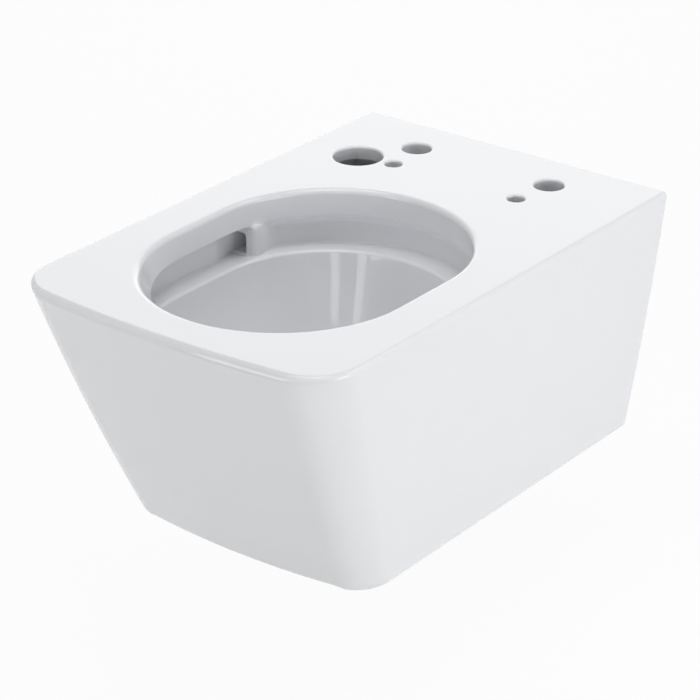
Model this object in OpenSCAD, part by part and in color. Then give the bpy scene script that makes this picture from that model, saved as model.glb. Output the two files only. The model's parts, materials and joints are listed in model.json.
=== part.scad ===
// Wall hung toilet pan: flat square-fronted deck, tapered skirt, open flush channel under
// the rim, P trap with a horizontal outlet, and concealed wall fixings that are tightened
// through the deck. All sizes in millimetres.
// Origin: midway between the two wall studs, on the wall. +X right as seen from the front,
// +Y into the wall, +Z up.

/* [Pan outline] */
// Width across the deck
pan_w = 380; // [360:1:400]
// Depth from the wall to the front of the deck
pan_l = 576; // [556:1:596]
// Height from the underside to the deck
pan_h = 285; // [279:1:295]
// Height of the deck above the wall studs
deck_z = 80; // [78:0.5:84]
// How far each side leans in from the deck to the underside
side_taper = 39.5; // [30:0.5:45]
// Belly of the leaning side, off a straight line
side_belly = 2.1; // [0:0.1:3]
// How far the front leans in from the deck to the underside
front_taper = 119; // [100:1:130]
// Belly of the leaning front, off a straight line
front_belly = 3.6; // [0:0.1:6]
// Bow of the front edge in plan, from the middle to the sides
front_bow = 13.5; // [8:0.5:16]
// Radius of the front corners in plan, at the deck
corner_top_r = 55; // [46:1:60]
// Radius of the front corners in plan, at the underside
corner_foot_r = 40; // [34:1:48]
// Rounding of the deck's side edges
side_edge_r = 5; // [3:0.5:6]
// Rounding of the deck's front edge
front_edge_r = 7; // [5:0.5:8]
// Rounding of the lower edge at the sides
foot_side_r = 15; // [11:0.5:16]
// Rounding of the lower edge at the front
foot_front_r = 11.5; // [9:0.5:13]
// Width of the flat foot inside that rounding
foot_w = 5; // [3:0.5:8]
// Depth of the recessed underside inside the foot
foot_recess = 4; // [3:0.5:6]
// Lift of the foot across the front
foot_lift = 2; // [1:0.5:3]
// Half width of the lifted stretch
foot_lift_x = 112; // [100:1:116]
// Length of the step at each end of the lifted stretch
foot_lift_run = 14; // [10:1:18]
// Height over which the lift fades out, in lower edge roundings
foot_lift_fade = 3; // [2:0.5:4]

/* [China walls] */
// Thickness of the deck
deck_t = 14; // [12:0.5:15]
// Thickness of the skirt
skirt_t = 10; // [8:0.5:12]
// Thickness of the skirt's floor
floor_t = 10; // [8:0.5:12]
// Thickness of the bowl, trap and flush ways
bowl_t = 9; // [7:0.5:10]
// Depth of the flange where the skirt meets the wall
flange_l = 14; // [10:1:18]
// Width of that flange inside the skirt
flange_w = 11; // [8:1:14]

/* [Opening and rim] */
// Deck width beside the opening
rim_side = 52.5; // [50:0.5:55]
// Deck width in front of the opening
rim_front = 48; // [46:0.5:53]
// Deck depth behind the opening
deck_back = 172.5; // [170:0.5:178]
// Rounding of the opening's upper edge
rim_edge_r = 8; // [6:0.5:9]
// Height of the rim wall, also the depth of the joint under the deck
rim_h = 30; // [27:0.5:33]

/* [Flush channel and bowl] */
// Width of the channel under the rim, at the sides
channel_w = 13; // [11:0.5:14]
// Height of the channel
channel_h = 38; // [34:0.5:40]
// Thickness of the channel wall
channel_t = 8; // [6:0.5:9]
// How far the ledge reaches into the opening, at the sides and the front
ledge_w = 13; // [8:0.5:18]
// How far the ledge reaches into the opening, at the back
ledge_back_w = 17; // [12:0.5:24]
// Rounding of the ledge's inner edge
ledge_edge_r = 4; // [3:0.5:5]
// Share of straight slope in the basin's profile, from the ledge to the sump
basin_straight = 0.65; // [0.5:0.05:0.8]
// Half width of the sump
sump_r = 40; // [36:1:44]
// Distance from the wall to the back of the sump
sump_back = 273; // [268:1:280]
// Distance from the wall to the front of the sump
sump_front = 363; // [345:1:375]
// Height of the rounded bottom of the sump
sump_round = 26; // [20:1:28]
// Distance from the wall to the face of the flush nozzles
nozzle_y = 275.5; // [270:0.5:282]
// Height of the nozzle
nozzle_h = 23; // [20:0.5:25]
// Reach of the nozzle block past the rim wall, into the opening
nozzle_reach = 5; // [3:0.5:6]
// Rounding of the nozzle block's upright corner
nozzle_corner_r = 5; // [3:0.5:6]
// Reach of the back wall behind the rim wall
back_set = 1.5; // [0.5:0.5:3]
// Angle round the opening from the side to where the nozzle block starts to fade out
nozzle_from_a = 17; // [14:1:20]
// Angle over which it fades out
nozzle_fade_a = 30; // [20:1:40]
// Widening of the distributor duct at the back
duct_back_w = 19; // [15:1:22]

/* [Deck holes] */
// Distance between the two access holes for the wall fixings
access_pitch = 168; // [165:1:180]
// Distance of the access holes from the wall
access_y = 57; // [55:0.5:59]
// Diameter of the access holes
access_d = 31; // [28:0.5:34]
// Distance between the two seat holes
seat_pitch = 155; // [150:1:160]
// Distance of the seat holes from the wall
seat_y = 107; // [103:1:111]
// Diameter of the seat holes
seat_d = 18; // [14:0.5:19]
// Distance of the supply hole from the middle
supply_x = 120; // [117:0.5:123]
// Distance of the supply hole from the wall
supply_y = 112; // [110:0.5:116]
// Diameter of the supply hole
supply_d = 52.5; // [48:0.5:54]
// Rounding of the deck holes' upper edges
hole_edge_r = 2.5; // [1.5:0.5:3]

/* [Water connections] */
// Height of the flush inlet above the wall studs
inlet_z = 35; // [34:0.5:36]
// Diameter of the flush inlet
inlet_d = 55; // [53:0.5:56]
// Wall of the inlet horn
inlet_t = 8; // [7:0.5:8.5]
// Distance from the wall to the mouths of the inlet and the outlet
mouth_y = 30; // [26:1:34]
// Length of the inlet horn
inlet_l = 54; // [50:1:58]
// Width of the inlet chamber
chamber_w = 88; // [80:1:94]
// How much of the distributor's round back is cut flat against the chamber
chamber_seat = 5; // [3:0.5:7]
// Margin of the window from the chamber to the distributor, each side
window_margin = 4; // [2:0.5:6]
// Depth of the outlet below the wall studs
outlet_drop = 100; // [97:0.5:103]
// Outer diameter of the outlet spigot
outlet_d = 102; // [100:0.5:104]
// Bore of the outlet spigot
outlet_bore_d = 88; // [84:0.5:90]
// Step from the trap's bore out to the spigot's, on the radius
spigot_step = 4; // [2:0.5:5]
// Width of the web that carries the spigot
web_w = 70; // [60:1:80]
// Bore of the trap up to the weir
trap_d = 52; // [50:0.5:54]
// Height of the trap's centre line over the sump floor, where it starts
trap_start_h = 27; // [26.5:0.5:28]
// Depth of the trap's centre line at the weir, below the ledge
trap_weir_drop = 63; // [61:1:69]
// Distance from the wall to the weir
trap_weir_y = 142.5; // [140:0.5:146]
// How far the throat stands out behind the bowl, at its top
throat_out = 1; // [0.5:0.5:3]
// Wall of the trap
trap_t = 8; // [6:0.5:8.5]
// Slope of the falling leg
trap_fall_a = 45; // [42:1:48]
// Radius of the first bend
trap_bend_r = 50; // [48:1:54]
// Radius of the bend over the weir
trap_weir_r = 38; // [36:1:40]
// Radius of the last bend
trap_out_r = 60; // [56:1:64]

/* [Wall fixings] */
// Distance between the wall studs
stud_pitch = 180; // [176:1:184]
// Diameter of the wall studs
stud_d = 12; // [10:1:12]
// Length of the anchor from the washer to its tip
anchor_l = 86; // [82:1:92]
// Chamfer of the anchor's tip
anchor_tip = 2; // [1:0.5:3]
// Diameter of the anchor
anchor_d = 20; // [18:0.5:21]
// Diameter of the anchor's collar and washer
collar_d = 34; // [30:1:36]
// Thickness of the collar
collar_t = 4; // [3:0.5:5]
// Thickness of the nylon washer
washer_t = 3; // [2:0.5:4]
// Depth of the stud hole in the anchor
stud_hole_l = 40; // [35:1:44]
// Depth of the tightening groove
groove_depth = 3.5; // [3:0.25:4]
// Width of the floor of the groove
groove_floor = 7; // [6:0.5:8]
// Width across flats of the anchor's hex socket
anchor_hex = 8; // [6:1:10]
// Thickness of the china ribs that take the sleeves
rib_t = 14; // [12:1:16]
// Inner end of the ribs, from the middle
rib_in = 48; // [44:1:52]
// Depth of the ribs below the wall studs
rib_drop = 45; // [40:1:50]
// Diameter of the sleeves
sleeve_d = 34; // [32:0.5:35]
// Diameter of the sleeve flanges
sleeve_flange_d = 44; // [40:1:46]
// Thickness of the sleeve flanges
sleeve_flange_t = 3; // [2:0.5:4]
// Width of the clamp blocks
block_w = 38; // [34:1:40]
// Length of the clamp blocks along the anchor
block_l = 28; // [26:1:32]
// Depth of the clamp blocks below the anchor's axis
block_drop = 20; // [17:1:22]
// Height of the clamp blocks above the anchor's axis
block_rise = 35; // [33:1:37]
// Rounding of the clamp blocks' upright edges
block_edge_r = 4; // [2:0.5:5]
// Width of the clamp jaw across the anchor
jaw_w = 17; // [15:0.5:18]
// Length of the clamp jaw along the anchor
jaw_l = 14; // [12:0.5:15]
// Top of the clamp jaw above the anchor's axis
jaw_top = 16; // [15:0.5:17]
// Feet of the clamp jaw above the anchor's axis
jaw_foot = 3; // [1:0.5:4]
// Lift of the jaw from clamped to free
jaw_lift = 4.5; // [4:0.5:4.5]
// Diameter of the clamp screw
screw_d = 10; // [8:0.5:11]
// Length of the clamp screw above the jaw
screw_l = 28; // [26:1:30]
// Width across flats of the clamp screw's hex socket
screw_hex = 6; // [4:1:6]
// Depth of the clamp screw's hex socket
screw_hex_l = 8; // [5:1:10]
// Diameter of the screw's pilot, which turns in the jaw
pilot_d = 6; // [5:0.5:6.5]
// Length of that pilot
pilot_l = 3; // [2:0.5:4]
// Chamfer of the clamp screw's head end
screw_chamfer = 0.8; // [0.5:0.1:1]

/* [Inlet seal] */
// Bore of the seal, for the flush pipe
seal_bore_d = 45; // [44:0.5:46]
// Length of the seal inside the horn
seal_l = 26; // [22:1:30]
// Thickness of the seal's end flange
seal_flange_t = 2.5; // [2:0.5:3]
// Reach of the end flange over the horn's mouth
seal_flange_w = 3; // [2:0.5:4]
// Depth of the grooves between the seal's lips
seal_groove = 1.5; // [1:0.25:2]
// Width of those grooves
seal_groove_w = 2.6; // [2:0.2:4]

/* [Clearances] */
// Gap between the flush channel and the skirt, at the front
channel_gap = 0.7; // [0.4:0.1:1]
// Free play round the anchor in the sleeve and the clamp block, on the radius
anchor_play = 0.3; // [0.2:0.05:0.5]
// Play of the sleeve in the china and the seal in the horn, on the radius
seat_play = 0.1; // [0.05:0.05:0.3]
// Play of the jaw in its pocket, each side
jaw_play = 0.3; // [0.2:0.05:0.5]
// Running play of the clamp screw, on the radius
screw_play = 0.05; // [0.03:0.01:0.08]

/* [Hidden] */

china = [0.95, 0.955, 0.965];
steel = [0.72, 0.73, 0.75];
nylon = [0.28, 0.29, 0.31];
white_plastic = [0.9, 0.9, 0.88];
rubber = [0.12, 0.12, 0.13];

// Overrun of a cutter past the face that it cuts
cut = 1;
// Facets of a full circle, and of a small one
$fn = 96;
small_fn = 48;
// Steps in a rounded edge, in a corner of the plan and in its bowed front
edge_steps = 5;
corner_steps = 10;
front_steps = 12;
// Steps in each half of an egg outline and down a tall wall
egg_steps = 28;
wall_steps = 9;
// Steps in the trap's three bends and round its bore
joint_bend_steps = 5;
weir_bend_steps = 8;
outlet_bend_steps = 4;
trap_sides = 28;

foot_z = deck_z - pan_h;
foot_r = max(foot_side_r, foot_front_r);
foot_fade_h = foot_lift_fade * foot_r;
joint_z = deck_z - rim_h;
deck_under_z = deck_z - deck_t;
floor_z = foot_z + foot_recess + floor_t;
shelf_z = joint_z - channel_h;
sump_z = floor_z + bowl_t;

side_slope_top = (side_taper - 4 * side_belly) / pan_h;
side_slope_foot = (side_taper + 4 * side_belly) / pan_h;
front_slope_top = (front_taper - 4 * front_belly) / pan_h;
front_slope_foot = (front_taper + 4 * front_belly) / pan_h;
// Level width of a leaning front wall for each millimetre of its thickness
front_skew = sqrt(1 + pow(front_taper / pan_h, 2));

// Where the leaning faces would meet the deck if its edges were sharp
side_start = pan_w / 2 + edge_set(side_edge_r, side_slope_top);
front_start = pan_l + edge_set(front_edge_r, front_slope_top);

open_r = pan_w / 2 - rim_side;
open_back_y = -(deck_back + open_r);
open_front_y = -(pan_l - rim_front - open_r);

// Reach of the flush channel's outer face past the front centre of the opening, to just inside the skirt
channel_outer_d = deck_z - shelf_z + bowl_t;
channel_front_r = front_start - lean(channel_outer_d, front_taper, front_belly) - skirt_t * front_skew
    - channel_gap + open_front_y;
channel_side_r = open_r + channel_w + channel_t;
chamber_front_y = open_back_y + channel_side_r + duct_back_w - chamber_seat;
throat_z = sump_z + trap_start_h;
throat_y = basin_back(throat_z + trap_d / 2 + bowl_t) + bowl_t + throat_out;

// Smooth step from 0 to 1
function ease(t) = let(u = max(0, min(1, t))) u * u * (3 - 2 * u);

// How far a leaning face has come in at depth d under the deck
function lean(d, taper, belly) = let(t = d / pan_h) taper * t - 4 * belly * t * (1 - t);

// How far a rounded edge of radius r sets the sharp corner outside the rounding's widest point
function edge_set(r, slope) = r * (slope + 1 / cos(atan(slope)) - 1);

// How far a rounded edge of radius r stays inside its leaning face, at distance d from the edge
function rounding(d, r, slope) = let(a = atan(slope)) d >= r * (1 + sin(a)) ? 0
    : r * slope + r / cos(a) - slope * d - sqrt(max(0, r * r - (r - d) * (r - d)));

// Outer half width and outer depth at depth d under the deck
function side_x(d) = side_start - lean(d, side_taper, side_belly)
    - rounding(d, side_edge_r, side_slope_top) - rounding(pan_h - d, foot_side_r, -side_slope_foot);
function front_l(d) = front_start - lean(d, front_taper, front_belly)
    - rounding(d, front_edge_r, front_slope_top) - rounding(pan_h - d, foot_front_r, -front_slope_foot);
function corner_r(d) = corner_top_r + (corner_foot_r - corner_top_r) * d / pan_h
    - rounding(d, front_edge_r, front_slope_top) - rounding(pan_h - d, foot_front_r, -front_slope_foot);

// Plan of the pan, clockwise from the back right corner: straight sides, round corners, bowed front
function plan(w, l, r, back) =
    let(bow_r = (w * w + front_bow * front_bow) / (2 * front_bow),
        bow_y = bow_r - l,
        corner_y = bow_y - sqrt((bow_r - r) * (bow_r - r) - (w - r) * (w - r)),
        turn = atan2(w - r, bow_y - corner_y),
        corner = [for (i = [0:corner_steps]) let(a = (90 - turn) * i / corner_steps)
            [w - r + r * cos(a), corner_y - r * sin(a)]])
    concat([[w, back]], corner,
        [for (i = [1:front_steps - 1]) let(a = turn * (1 - 2 * i / front_steps))
            [bow_r * sin(a), bow_y - bow_r * cos(a)]],
        [for (i = [corner_steps:-1:0]) [-corner[i].x, corner[i].y]],
        [[-w, back]]);

// Egg outline round the two ends of the opening, clockwise: half width a, reach to the back and front
function egg(a, back, front) = concat(
    [for (i = [0:egg_steps]) let(t = 180 - 180 * i / egg_steps) [a * cos(t), open_back_y + back * sin(t)]],
    [for (i = [0:egg_steps]) let(t = -180 * i / egg_steps) [a * cos(t), open_front_y + front * sin(t)]]);

function at_z(outline, z) = [for (p = outline) [p.x, p.y, z]];

// Solid through a stack of rings, the first on top, each clockwise seen from above
module loft(rings) {
    n = len(rings[0]);
    m = len(rings);
    polyhedron(
        points = [for (r = rings) each r],
        faces = concat(
            [[for (i = [0:n - 1]) i]],
            [for (j = [0:m - 2], i = [0:n - 1]) let(k = (i + 1) % n, a = j * n, b = a + n)
                each [[a + k, a + i, b + i], [a + k, b + i, b + k]]],
            [[for (i = [n - 1:-1:0]) (m - 1) * n + i]]));
}

// Rising foot across the front: a ring's height at point p, e above the lower edge
function foot_rise(p, e) = p.y > open_back_y ? 0 : foot_lift * ease(1 - e / foot_fade_h)
    * (1 - ease((abs(p.x) - foot_lift_x) / foot_lift_run));

function outer_ring(d) = at_z(plan(side_x(d), front_l(d), corner_r(d), 0), deck_z - d);
function foot_ring(e, inset) = let(d = pan_h - e)
    [for (p = plan(side_x(d) - inset, front_l(d) - inset, corner_r(d) - inset, inset > 0 ? -flange_l : 0))
        [p.x, p.y, foot_z + e + foot_rise(p, e)]];

// Room inside the skirt between two depths, with a given wall, out to a given plane at the back
module skirt_room(d_top, d_low, wall, back, steps) {
    loft([for (i = [0:steps]) let(d = d_top + (d_low - d_top) * i / steps,
            w = side_start - lean(d, side_taper, side_belly) - wall,
            l = front_start - lean(d, front_taper, front_belly) - wall * front_skew,
            r = corner_top_r + (corner_foot_r - corner_top_r) * d / pan_h - wall)
        at_z(plan(w, l, r, back), deck_z - d)]);
}

// The room behind the deck and skirt opens to the wall through a mouth inside the flange
module hollow(d_top, d_low, steps) {
    mouth_low = min(d_low, pan_h - foot_recess - floor_t - flange_w);
    skirt_room(d_top, d_low, skirt_t, -flange_l, steps);
    skirt_room(d_top, mouth_low, skirt_t + flange_w, cut, steps);
}

// Cutter for a round deck hole with a rounded upper edge
module deck_hole(d) {
    r = d / 2;
    translate([0, 0, deck_z])
        rotate_extrude()
            polygon(concat(
                [[0, -deck_t - cut], [r, -deck_t - cut]],
                [for (i = [0:edge_steps]) let(a = 90 * i / edge_steps)
                    [r + hole_edge_r * (1 - cos(a)), -hole_edge_r * (1 - sin(a))]],
                [[r + hole_edge_r, cut], [0, cut]]));
}

// Deck, rim and the top of the apron, cast in one
module deck_rim() {
    edge_h = front_edge_r * (1 + sin(atan(front_slope_top)));
    flare_r = open_r + rim_edge_r;
    rim_block = egg(channel_side_r, channel_side_r, channel_front_r);
    color(china) difference() {
        loft(concat(
            [for (i = [0:edge_steps]) outer_ring(edge_h * (1 - cos(90 * i / edge_steps)))],
            [outer_ring((edge_h + rim_h) / 2), outer_ring(rim_h)]));
        difference() {
            hollow(deck_t, rim_h + cut, 1);
            loft([at_z(rim_block, deck_z), at_z(rim_block, joint_z - 2 * cut)]);
        }
        loft(concat(
            [at_z(egg(flare_r, flare_r, flare_r), deck_z + cut)],
            [for (i = [0:edge_steps]) let(a = 90 * i / edge_steps, r = flare_r - rim_edge_r * sin(a))
                at_z(egg(r, r, r), deck_z - rim_edge_r * (1 - cos(a)))],
            [at_z(egg(open_r, open_r, open_r), joint_z - cut)]));
        for (s = [-1, 1]) {
            translate([s * access_pitch / 2, -access_y]) deck_hole(access_d);
            translate([s * seat_pitch / 2, -seat_y]) deck_hole(seat_d);
        }
        translate([-supply_x, -supply_y]) deck_hole(supply_d);
    }
}

// Tapered skirt with its floor, foot, wall flange and the ribs for the wall fixings
module shroud() {
    straight_h = pan_h - foot_fade_h;
    foot_steps = edge_steps + 1;
    color(china) difference() {
        loft(concat(
            [for (i = [0:wall_steps]) outer_ring(rim_h + (straight_h - rim_h) * i / wall_steps)],
            [for (i = [foot_steps:-1:0]) foot_ring(foot_r * (1 - cos(90 * i / foot_steps)), 0)],
            [foot_ring(0, foot_w), at_z(foot_ring(0, foot_w), foot_z + foot_recess)]));
        difference() {
            hollow(rim_h - cut, pan_h - foot_recess - floor_t, wall_steps);
            for (s = [-1, 1]) translate([s > 0 ? rib_in : -pan_w, -mouth_y - rib_t, -rib_drop])
                cube([pan_w - rib_in, rib_t, rib_drop + joint_z + 2 * cut]);
        }
        for (s = [-1, 1]) translate([s * stud_pitch / 2, -mouth_y + cut, 0]) rotate([90, 0, 0])
            cylinder(d = sleeve_d + 2 * seat_play, h = rib_t + 2 * cut);
    }
}

// Share of the way from the sump back out to the ledge, at height z of the basin
function basin(z) = let(t = min(1, (shelf_z - z) / (shelf_z - sump_z - sump_round)))
    basin_straight * (1 - t) + (1 - basin_straight) * cos(90 * t);

// Reach of the basin towards the wall, at height z
function basin_back(z) = -sump_back + (sump_back + open_back_y + open_r - ledge_back_w) * basin(z);

// Ring of the basin at height z, grown outwards by a wall
function basin_ring(z, wall, shrink = 0) =
    let(b = basin(z),
        ledge = open_r - ledge_w,
        a = sump_r + (ledge - sump_r) * b - shrink + wall,
        y_back = basin_back(z) - shrink + wall,
        y_front = -sump_front - (-sump_front - open_front_y + ledge) * b + shrink - wall,
        middle = (y_back + y_front) / 2,
        straight = (open_back_y - open_front_y) / 2 * b)
    [for (p = egg(a, 1, 1)) p.y > (open_back_y + open_front_y) / 2
        ? [p.x, middle + straight + (p.y - open_back_y) * (y_back - middle - straight), z]
        : [p.x, middle - straight + (p.y - open_front_y) * (middle - straight - y_front), z]];

// Outline of the shelf that carries the channel wall and the distributor, flat where the chamber joins
function shelf_outline() = [for (p = egg(channel_side_r, channel_side_r + duct_back_w, channel_front_r))
    [p.x, min(p.y, chamber_front_y)]];

// Basin with its ledge, sump and the short throat that the trap joins
module bowl() {
    throat_l = sump_back + sump_round + throat_y;
    low = sump_z + sump_round;
    under_z = shelf_z - bowl_t;
    edge_z = shelf_z - ledge_edge_r;
    color(china) difference() {
        union() {
            loft(concat(
                [at_z(shelf_outline(), shelf_z), at_z(shelf_outline(), under_z)],
                [for (i = [0:wall_steps]) basin_ring(under_z + (low - under_z) * i / wall_steps, bowl_t)],
                [for (i = [1:edge_steps]) let(a = 90 * i / edge_steps)
                    basin_ring(low - (low - floor_z) * sin(a), bowl_t, sump_round * (1 - cos(a)))]));
            translate([0, throat_y, throat_z]) rotate([90, 0, 0])
                cylinder(d = trap_d + 2 * bowl_t, h = throat_l, $fn = small_fn);
        }
        loft(concat(
            [basin_ring(shelf_z + cut, ledge_edge_r)],
            [for (i = [1:edge_steps]) let(a = 90 * i / edge_steps)
                basin_ring(shelf_z - ledge_edge_r * (1 - cos(a)), ledge_edge_r * (1 - sin(a)))],
            [for (i = [1:wall_steps]) basin_ring(edge_z + (low - edge_z) * i / wall_steps, 0)],
            [for (i = [1:edge_steps]) let(a = 90 * i / edge_steps)
                basin_ring(low - sump_round * sin(a), 0, sump_round * (1 - cos(a)))]));
        translate([0, throat_y + cut, throat_z]) rotate([90, 0, 0])
            cylinder(d = trap_d, h = throat_l + cut, $fn = small_fn);
    }
}

// Outer wall of the open flush channel, from one nozzle round the front to the other
module channel_wall() {
    color(china) translate([0, 0, shelf_z]) linear_extrude(channel_h) difference() {
        polygon(egg(channel_side_r, channel_side_r, channel_front_r));
        polygon(egg(channel_side_r - channel_t, channel_side_r - channel_t, channel_front_r - channel_t));
        translate([-pan_w, -nozzle_y]) square([2 * pan_w, pan_l]);
    }
}

// Radius of the distributor's inner wall, at angle t from the right round the back of the opening
function inner_wall_r(t) = let(near = min(t, 180 - t))
    open_r - nozzle_reach + (nozzle_reach + back_set) * ease((near - nozzle_from_a) / nozzle_fade_a);

// Band round the back of the opening, from the inner wall plus a margin to the shelf's edge less one
module distributor_band(inner_margin, outer_margin) {
    band_steps = 40;
    side_r = channel_side_r - outer_margin;
    back_y = chamber_front_y - outer_margin;
    outer = [for (i = [0:band_steps]) let(t = 180 * i / band_steps)
        [side_r * cos(t), min(open_back_y + (side_r + duct_back_w) * sin(t), back_y)]];
    inner = [for (i = [band_steps:-1:0]) let(t = 180 * i / band_steps, r = inner_wall_r(t) + inner_margin)
        [r * cos(t), open_back_y + r * sin(t)]];
    difference() {
        polygon(concat(outer, inner));
        translate([-pan_w, -nozzle_y - pan_l]) square([2 * pan_w, pan_l]);
    }
}

// Horseshoe duct that feeds the two nozzles; its floor is the shelf
module flush_distributor() {
    corner_x = sqrt(pow(open_r - nozzle_reach, 2) - pow(-nozzle_y - open_back_y, 2));
    window_w = chamber_w - 2 * (bowl_t + window_margin);
    color(china) translate([0, 0, shelf_z]) difference() {
        linear_extrude(channel_h) difference() {
            distributor_band(0, 0);
            for (s = [-1, 1]) translate([s * corner_x, -nozzle_y]) difference() {
                translate([-nozzle_corner_r, -cut]) square([2 * nozzle_corner_r, nozzle_corner_r + cut]);
                translate([s * nozzle_corner_r, nozzle_corner_r])
                    circle(r = nozzle_corner_r, $fn = small_fn);
                translate([s > 0 ? nozzle_corner_r : -3 * nozzle_corner_r, -2 * cut])
                    square([2 * nozzle_corner_r, nozzle_corner_r + 3 * cut]);
            }
        }
        translate([0, 0, -cut]) linear_extrude(nozzle_h + cut) intersection() {
            distributor_band(bowl_t, channel_t);
            translate([-pan_w, -nozzle_y - cut]) square([2 * pan_w, pan_l]);
        }
        translate([0, 0, -cut]) linear_extrude(nozzle_h + cut) distributor_nozzles();
        translate([-window_w / 2, chamber_front_y - channel_t - cut, -cut])
            cube([window_w, channel_t + 2 * cut, nozzle_h + cut]);
    }
}

// Run of the two nozzles through the distributor's end faces
module distributor_nozzles() {
    inner = sqrt(pow(open_r - nozzle_reach + bowl_t, 2) - pow(-nozzle_y - open_back_y, 2));
    for (s = [-1, 1]) translate([s > 0 ? inner : -open_r - channel_w, -nozzle_y - cut])
        square([open_r + channel_w - inner, 2 * cut]);
}

// Flush inlet horn and the chamber that feeds the distributor
module inlet_chamber() {
    back_y = -mouth_y - inlet_l;
    chamber_l = back_y - chamber_front_y;
    room_h = deck_under_z - shelf_z - bowl_t;
    color(china) difference() {
        union() {
            intersection() {
                translate([0, -mouth_y, inlet_z]) rotate([90, 0, 0])
                    cylinder(d = inlet_d + 2 * inlet_t, h = inlet_l);
                translate([-pan_w / 2, -pan_l, -pan_h]) cube([pan_w, pan_l, pan_h + deck_under_z]);
            }
            translate([-chamber_w / 2, chamber_front_y, shelf_z - bowl_t])
                cube([chamber_w, chamber_l, deck_under_z - shelf_z + bowl_t]);
        }
        translate([0, -mouth_y + cut, inlet_z]) rotate([90, 0, 0])
            cylinder(d = inlet_d, h = inlet_l + bowl_t + cut);
        translate([bowl_t - chamber_w / 2, chamber_front_y - cut, shelf_z])
            cube([chamber_w - 2 * bowl_t, chamber_l - bowl_t + cut, room_h]);
    }
}

// Centre line of the trap in the plane of symmetry, as [y, z, heading]: rise, weir, fall, outlet
function bend(from, r, turn, steps) =
    [for (i = [1:steps]) let(h = from[2] + turn * i / steps, s = sign(turn))
        [from[0] + s * r * (sin(h) - sin(from[2])), from[1] - s * r * (cos(h) - cos(from[2])), h]];
function run(from, l) = [from[0] + l * cos(from[2]), from[1] + l * sin(from[2]), from[2]];
function trap_route() =
    let(start = [throat_y, throat_z, 0],
        reach = -trap_weir_y - throat_y,
        weir_z = shelf_z - trap_weir_drop,
        // The rising leg is tangent to the bends at both its ends
        bends_r = trap_bend_r + trap_weir_r,
        over_bends = weir_z - throat_z - bends_r,
        rise_a = atan2(over_bends, reach) + asin(bends_r / norm([reach, over_bends])),
        rise_l = (reach - bends_r * sin(rise_a)) / cos(rise_a),
        fall_h = weir_z + outlet_drop - (trap_weir_r + trap_out_r) * (1 - cos(trap_fall_a)),
        up = bend(start, trap_bend_r, rise_a, joint_bend_steps),
        rise = run(up[joint_bend_steps - 1], rise_l),
        over = bend(rise, trap_weir_r, -rise_a - trap_fall_a, weir_bend_steps),
        fall = run(over[weir_bend_steps - 1], fall_h / sin(trap_fall_a)),
        out = bend(fall, trap_out_r, trap_fall_a, outlet_bend_steps))
    concat([start], up, [rise], over, [fall], out);

// Tube along the trap's centre line, bore grown by a wall, opened towards the outlet after the weir
module trap_tube(wall, over) {
    route = trap_route();
    n = len(route);
    weir_end = 1 + joint_bend_steps + weir_bend_steps;
    ring = function (p, r) [for (i = [0:trap_sides - 1]) let(a = 360 * i / trap_sides)
        [r * cos(a), p[0] - r * sin(a) * sin(p[2]), p[1] + r * sin(a) * cos(p[2])]];
    radius = function (i) trap_d / 2 + wall
        + ((outlet_bore_d - trap_d) / 2 - spigot_step) * ease((i - weir_end) / (n - 1 - weir_end));
    loft(concat(
        over > 0 ? [ring(run(route[n - 1], over), radius(n - 1))] : [],
        [for (i = [n - 1:-1:0]) ring(route[i], radius(i))],
        over > 0 ? [ring(run(route[0], -over), radius(0))] : []));
}

// P trap from the bowl's throat over the weir to the outlet spigot, with the web that carries it
module trapway() {
    end_y = trap_route()[len(trap_route()) - 1][0];
    spigot_l = -mouth_y - end_y + bowl_t;
    color(china) difference() {
        union() {
            trap_tube(trap_t, 0);
            translate([0, -mouth_y, -outlet_drop]) rotate([90, 0, 0])
                cylinder(d = outlet_d, h = spigot_l);
            translate([-web_w / 2, -mouth_y - spigot_l - rib_t, floor_z])
                cube([web_w, rib_t, -outlet_drop - floor_z]);
        }
        trap_tube(0, cut);
        translate([0, -mouth_y + cut, -outlet_drop]) rotate([90, 0, 0])
            cylinder(d = outlet_bore_d, h = spigot_l - bowl_t + cut);
    }
}

// Rubber seal in the inlet horn, with lips inside and an end flange over the mouth
module inlet_seal() {
    r_out = inlet_d / 2 - seat_play;
    r_in = seal_bore_d / 2;
    grooves = 3;
    color(rubber) translate([0, -mouth_y, inlet_z]) rotate([90, 0, 0]) difference() {
        union() {
            cylinder(r = r_out, h = seal_l);
            translate([0, 0, -seal_flange_t]) cylinder(r = inlet_d / 2 + seal_flange_w, h = seal_flange_t);
        }
        translate([0, 0, -seal_flange_t - cut]) cylinder(r = r_in, h = seal_l + seal_flange_t + 2 * cut);
        for (i = [1:grooves]) translate([0, 0, (i - 1 / 2) * seal_l / grooves - seal_groove_w / 2])
            difference() {
                cylinder(r = r_out + cut, h = seal_groove_w);
                translate([0, 0, -cut]) cylinder(r = r_out - seal_groove, h = seal_groove_w + 2 * cut);
            }
    }
}

// Places one side's fixing: s is -1 on the left and 1 on the right
module on_stud(s) {
    translate([s * stud_pitch / 2, 0, 0]) children();
}

// Groove round the anchor, with flared sides, as a revolved cutter
module anchor_groove() {
    r = anchor_d / 2 - groove_depth;
    half = groove_floor / 2;
    flare = groove_depth + cut;
    translate([0, -access_y, 0]) rotate([90, 0, 0]) rotate_extrude()
        polygon([[r, -half], [r + flare, -half - flare], [r + flare, half + flare], [r, half]]);
}

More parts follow.
